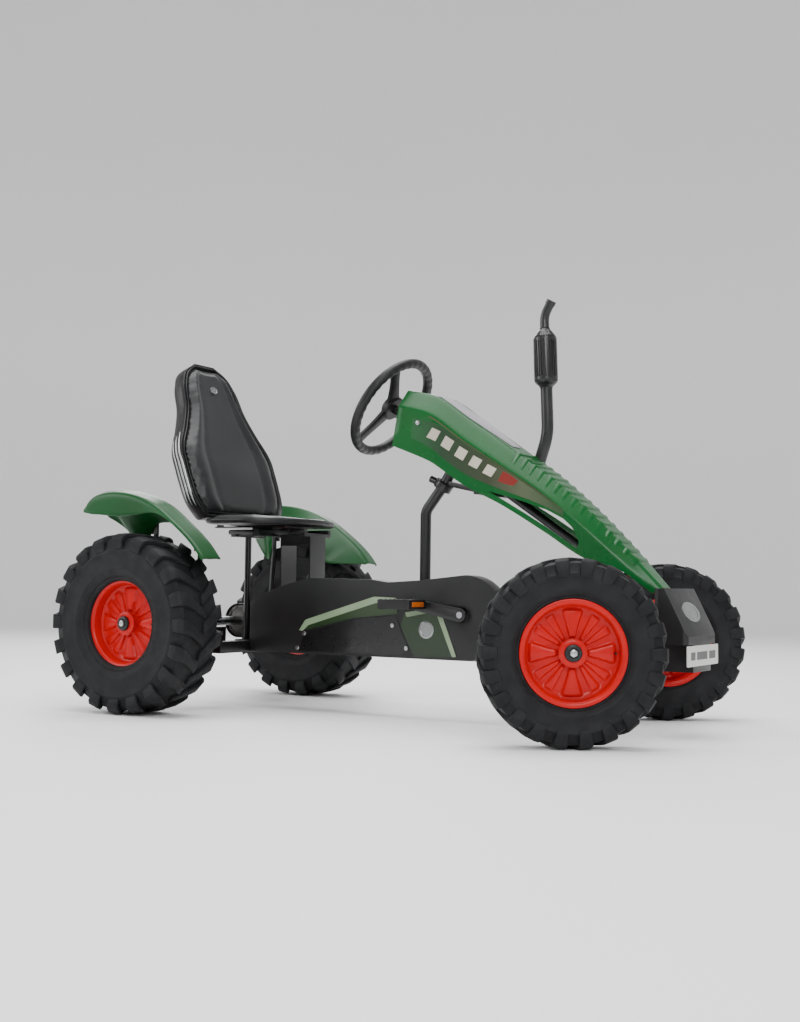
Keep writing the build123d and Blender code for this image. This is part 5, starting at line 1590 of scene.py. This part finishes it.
@dataclass
class Pedals:
    """The two block pedals with grip pins and reflectors."""

    def build_one(self, side: Side) -> None:
        """Builds one pedal around the frame's pedal."""
        node = f"pedal_{side.word}"
        low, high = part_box(node)
        piece = softened(node, 1.4 * MM, 2)
        piece.data.materials.append(AMBER.material())
        for polygon in piece.data.polygons:
            edge = min(abs(polygon.center.x - low.x), abs(polygon.center.x - high.x))
            polygon.material_index = 1 if edge < 2.9 * MM else 0
        studs = []
        for x_share in (0.10, 0.5, 0.90):
            for y_share in (0.08, 0.36, 0.64, 0.92):
                for level, lift in ((high.z, 1), (low.z, -1)):
                    spot = Vector((low.x + (high.x - low.x) * x_share, low.y + (high.y - low.y) * y_share, level))
                    stud = spun(f"stud_{len(studs)}", [(0, 1.6 * MM), (1.6 * MM, 1.4 * MM), (2.6 * MM, -0.4 * MM),
                                                       (0, -0.4 * MM)], 10)
                    flip = Matrix.Identity(4) if lift > 0 else Matrix.Rotation(math.pi, 4, "X")
                    studs.append(moved(stud, Matrix.Translation(spot) @ flip))
        whole = dress(smooth(joined(f"{node}_studs", studs)), PLASTIC)
        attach(whole, body_of_node(node))

    def build(self) -> None:
        """Builds both pedals and rounds the arms."""
        for side in Side:
            self.build_one(side)
            softened(f"crank_arm_{side.word}", 2.5 * MM, 3)
        LOG.info("pedals and crank arms")


@dataclass
class Chains:
    """The two roller chains, link by link round their sprockets."""

    pitch: float = 12.7

    def loop(self, front: tuple[float, float, int], rear: tuple[float, float, int]) -> list[tuple[float, float, float]]:
        """The chain's line as (x, z, heading) at every pin.

        Args:
            front: the front sprocket's x, z and teeth.
            rear: the rear sprocket's x, z and teeth.

        Returns:
            One entry for each pin.
        """
        r1 = self.pitch / (2 * math.sin(math.pi / front[2]))
        r2 = self.pitch / (2 * math.sin(math.pi / rear[2]))
        a, b = Vector(front[:2]), Vector(rear[:2])
        run = (b - a).length
        base = math.atan2((b - a).y, (b - a).x)
        tilt = math.acos((r1 - r2) / run)
        outline = []
        for angle in np.linspace(base + tilt, base + math.tau - tilt, 60):
            outline.append(a + Vector((math.cos(angle), math.sin(angle))) * r1)
        for angle in np.linspace(base - tilt, base + tilt, 60):
            outline.append(b + Vector((math.cos(angle), math.sin(angle))) * r2)
        outline.append(outline[0])
        lengths = np.cumsum([0.0] + [(q - p).length for p, q in zip(outline, outline[1:])])
        count = round(lengths[-1] / self.pitch)
        pins = []
        for index in range(count):
            spot = lengths[-1] * index / count
            pins.append((float(np.interp(spot, lengths, [p.x for p in outline])),
                         float(np.interp(spot, lengths, [p.y for p in outline]))))
        return [(*p, math.atan2(q[1] - p[1], q[0] - p[0])) for p, q in zip(pins, pins[1:] + pins[:1])]

    def link(self, name: str, half: float) -> bpy.types.Object:
        """Builds one link about its first pin: two waisted plates and a roller."""
        parts = []
        for y in (-half, half):
            ring = []
            for angle in np.linspace(math.pi / 2 + 0.5, 3 * math.pi / 2 - 0.5, 4):
                ring.append((4.0 * math.cos(angle), 4.0 * math.sin(angle)))
            ring.append((self.pitch / 2, -2.9))
            for angle in np.linspace(-math.pi / 2 + 0.5, math.pi / 2 - 0.5, 4):
                ring.append((self.pitch + 4.0 * math.cos(angle), 4.0 * math.sin(angle)))
            ring.append((self.pitch / 2, 2.9))
            ring.append(ring[0])
            rows = [[(x * MM, (y + level) * MM, z * MM) for x, z in ring] for level in (-0.6, 0.6)]
            parts.append(laid(f"{name}_plate_{int(y * 10)}", rows, closed=True, capped=True))
        calm()
        bpy.ops.mesh.primitive_cylinder_add(vertices=8, radius=2.6 * MM, depth=(2 * half + 2.2) * MM,
                                            rotation=(math.pi / 2, 0, 0))
        pin = named(bpy.context.object, f"{name}_pin")
        bpy.ops.object.transform_apply(location=True, rotation=True, scale=True)
        return joined(name, parts + [pin])

    def build(self) -> None:
        """Builds both chains."""
        runs = (((790, 265, 40), (380, 230, 18), -55.0), ((380, 230, 16), (0, 230, 20), 50.0))
        links = []
        wide, narrow = self.link("wide_link", 4.7), self.link("narrow_link", 3.3)
        for front, rear, y in runs:
            for index, (x, z, heading) in enumerate(self.loop(front, rear)):
                place = Matrix.Translation(at(x, y, z)) @ Matrix.Rotation(-heading, 4, "Y")
                links.append(copied(wide if index % 2 else narrow, f"link_{len(links)}", place))
        for piece in (wide, narrow):
            bpy.data.objects.remove(piece)
        whole = joined("roller_chains", links)
        stand_for(dress(smooth(whole), CHAIN_STEEL), "chains")
        LOG.info("chains: %d links", len(links))


# Frame and studio


@dataclass
class SteelWork:
    """The frame's own nodes: rounded copies of the boxy ones, and finishes for the rest."""

    rounded_nodes: tuple[tuple[str, float], ...] = (
        ("main_frame", 2.0), ("rear_frame", 2.0), ("seat_rail", 1.5), ("knuckle_left", 1.2), ("knuckle_right", 1.2),
        ("swing_bolt", 1.0), ("bearing_housings", 1.5), ("front_axle_beam", 1.0), ("tie_rod_left", 0.8),
        ("tie_rod_right", 0.8), ("gear_hub", 1.5),
    )

    def build(self) -> None:
        """Rounds and dresses the steel."""
        for node, width in self.rounded_nodes:
            softened(node, width * MM)
        for node, piece in frame["nodes"].items():
            if node in NODE_FINISH:
                dress(piece, NODE_FINISH[node])
        LOG.info("steel: %d rounded nodes", len(self.rounded_nodes))


@dataclass
class Studio:
    """A pale floor that curves up all round, soft lights, and the camera."""

    camera_place: tuple[float, float, float] = (2341.656, -2893.366, 340.218)
    azimuth: float = 31.629
    elevation: float = -3.179
    roll: float = 0.748
    lens: float = 46.01
    floor: Finish = field(default_factory=lambda: Finish(
        "studio_floor", (0.93, 0.93, 0.93), (0.94, 0.94, 0.94), 0.6, 0.03, patches=0.5, scale=40, relief=0.0))

    def cove(self) -> None:
        """Builds the floor with its curved rim."""
        profile = [(0.0, 0.0), (2.0, 0.0), (5.5, 0.0), (7.0, 0.0)]
        for step in range(1, 13):
            turn = math.pi / 2 * step / 12
            profile.append((7.0 + 2.5 * math.sin(turn), 2.5 - 2.5 * math.cos(turn)))
        profile.append((9.5, 7.0))
        piece = spun("studio_cove", profile, 72)
        if piece.data.polygons[0].normal.z < 0:
            with editing(piece):
                bpy.ops.mesh.flip_normals()
        dress(smooth(piece, 60), self.floor)

    def lamp(self, name: str, place: Point, size: float, power: float) -> None:
        """Adds one soft square light aimed at the kart."""
        calm()
        bpy.ops.object.light_add(type="AREA", location=place)
        lamp = bpy.context.object
        lamp.name = name
        lamp.data.size = size
        lamp.data.energy = power
        lamp.rotation_euler = (Vector((0, 0, 0.4)) - Vector(place)).to_track_quat("-Z", "Y").to_euler()

    def build(self) -> None:
        """Builds the floor, the lights and the camera."""
        self.cove()
        self.lamp("overhead", (0.0, 0.0, 4.6), 3.6, 250)
        self.lamp("front_right", (2.6, -3.4, 2.8), 2.0, 105)
        self.lamp("rear_left", (-2.6, 3.0, 3.0), 2.4, 95)
        self.lamp("rear_right", (-3.2, -2.6, 2.2), 2.0, 60)
        world = bpy.context.scene.world or bpy.data.worlds.new("studio")
        bpy.context.scene.world = world
        world.use_nodes = True
        world.node_tree.nodes["Background"].inputs["Color"].default_value = (1, 1, 1, 1)
        world.node_tree.nodes["Background"].inputs["Strength"].default_value = 0.6
        azimuth, elevation, roll = (math.radians(value) for value in (self.azimuth, self.elevation, self.roll))
        back = Vector((math.sin(azimuth) * math.cos(elevation), -math.cos(azimuth) * math.cos(elevation),
                       math.sin(elevation)))
        right = Vector((math.cos(azimuth), math.sin(azimuth), 0))
        up = back.cross(right)
        turned_right = right * math.cos(roll) + up * math.sin(roll)
        turned_up = up * math.cos(roll) - right * math.sin(roll)
        data = bpy.data.cameras.new("camera")
        data.sensor_width = 36
        data.lens = self.lens
        data.clip_end = 60
        camera = bpy.data.objects.new("camera", data)
        bpy.context.scene.collection.objects.link(camera)
        matrix = Matrix((turned_right, turned_up, back)).transposed().to_4x4()
        camera.matrix_world = Matrix.Translation(at(*self.camera_place)) @ matrix
        bpy.context.scene.camera = camera
        LOG.info("studio: cove, lights and camera")


def main() -> None:
    """Builds the kart, then the studio."""
    logging.basicConfig(level=logging.INFO, format="%(message)s")
    calm()
    Wheels().build()
    Hood().build()
    Fenders().build()
    Seat().build()
    SteeringWheel().build()
    Exhaust().build()
    Trim().build()
    Pedals().build()
    Chains().build()
    SteelWork().build()
    Studio().build()
    calm()


if __name__ == "__main__":
    main()
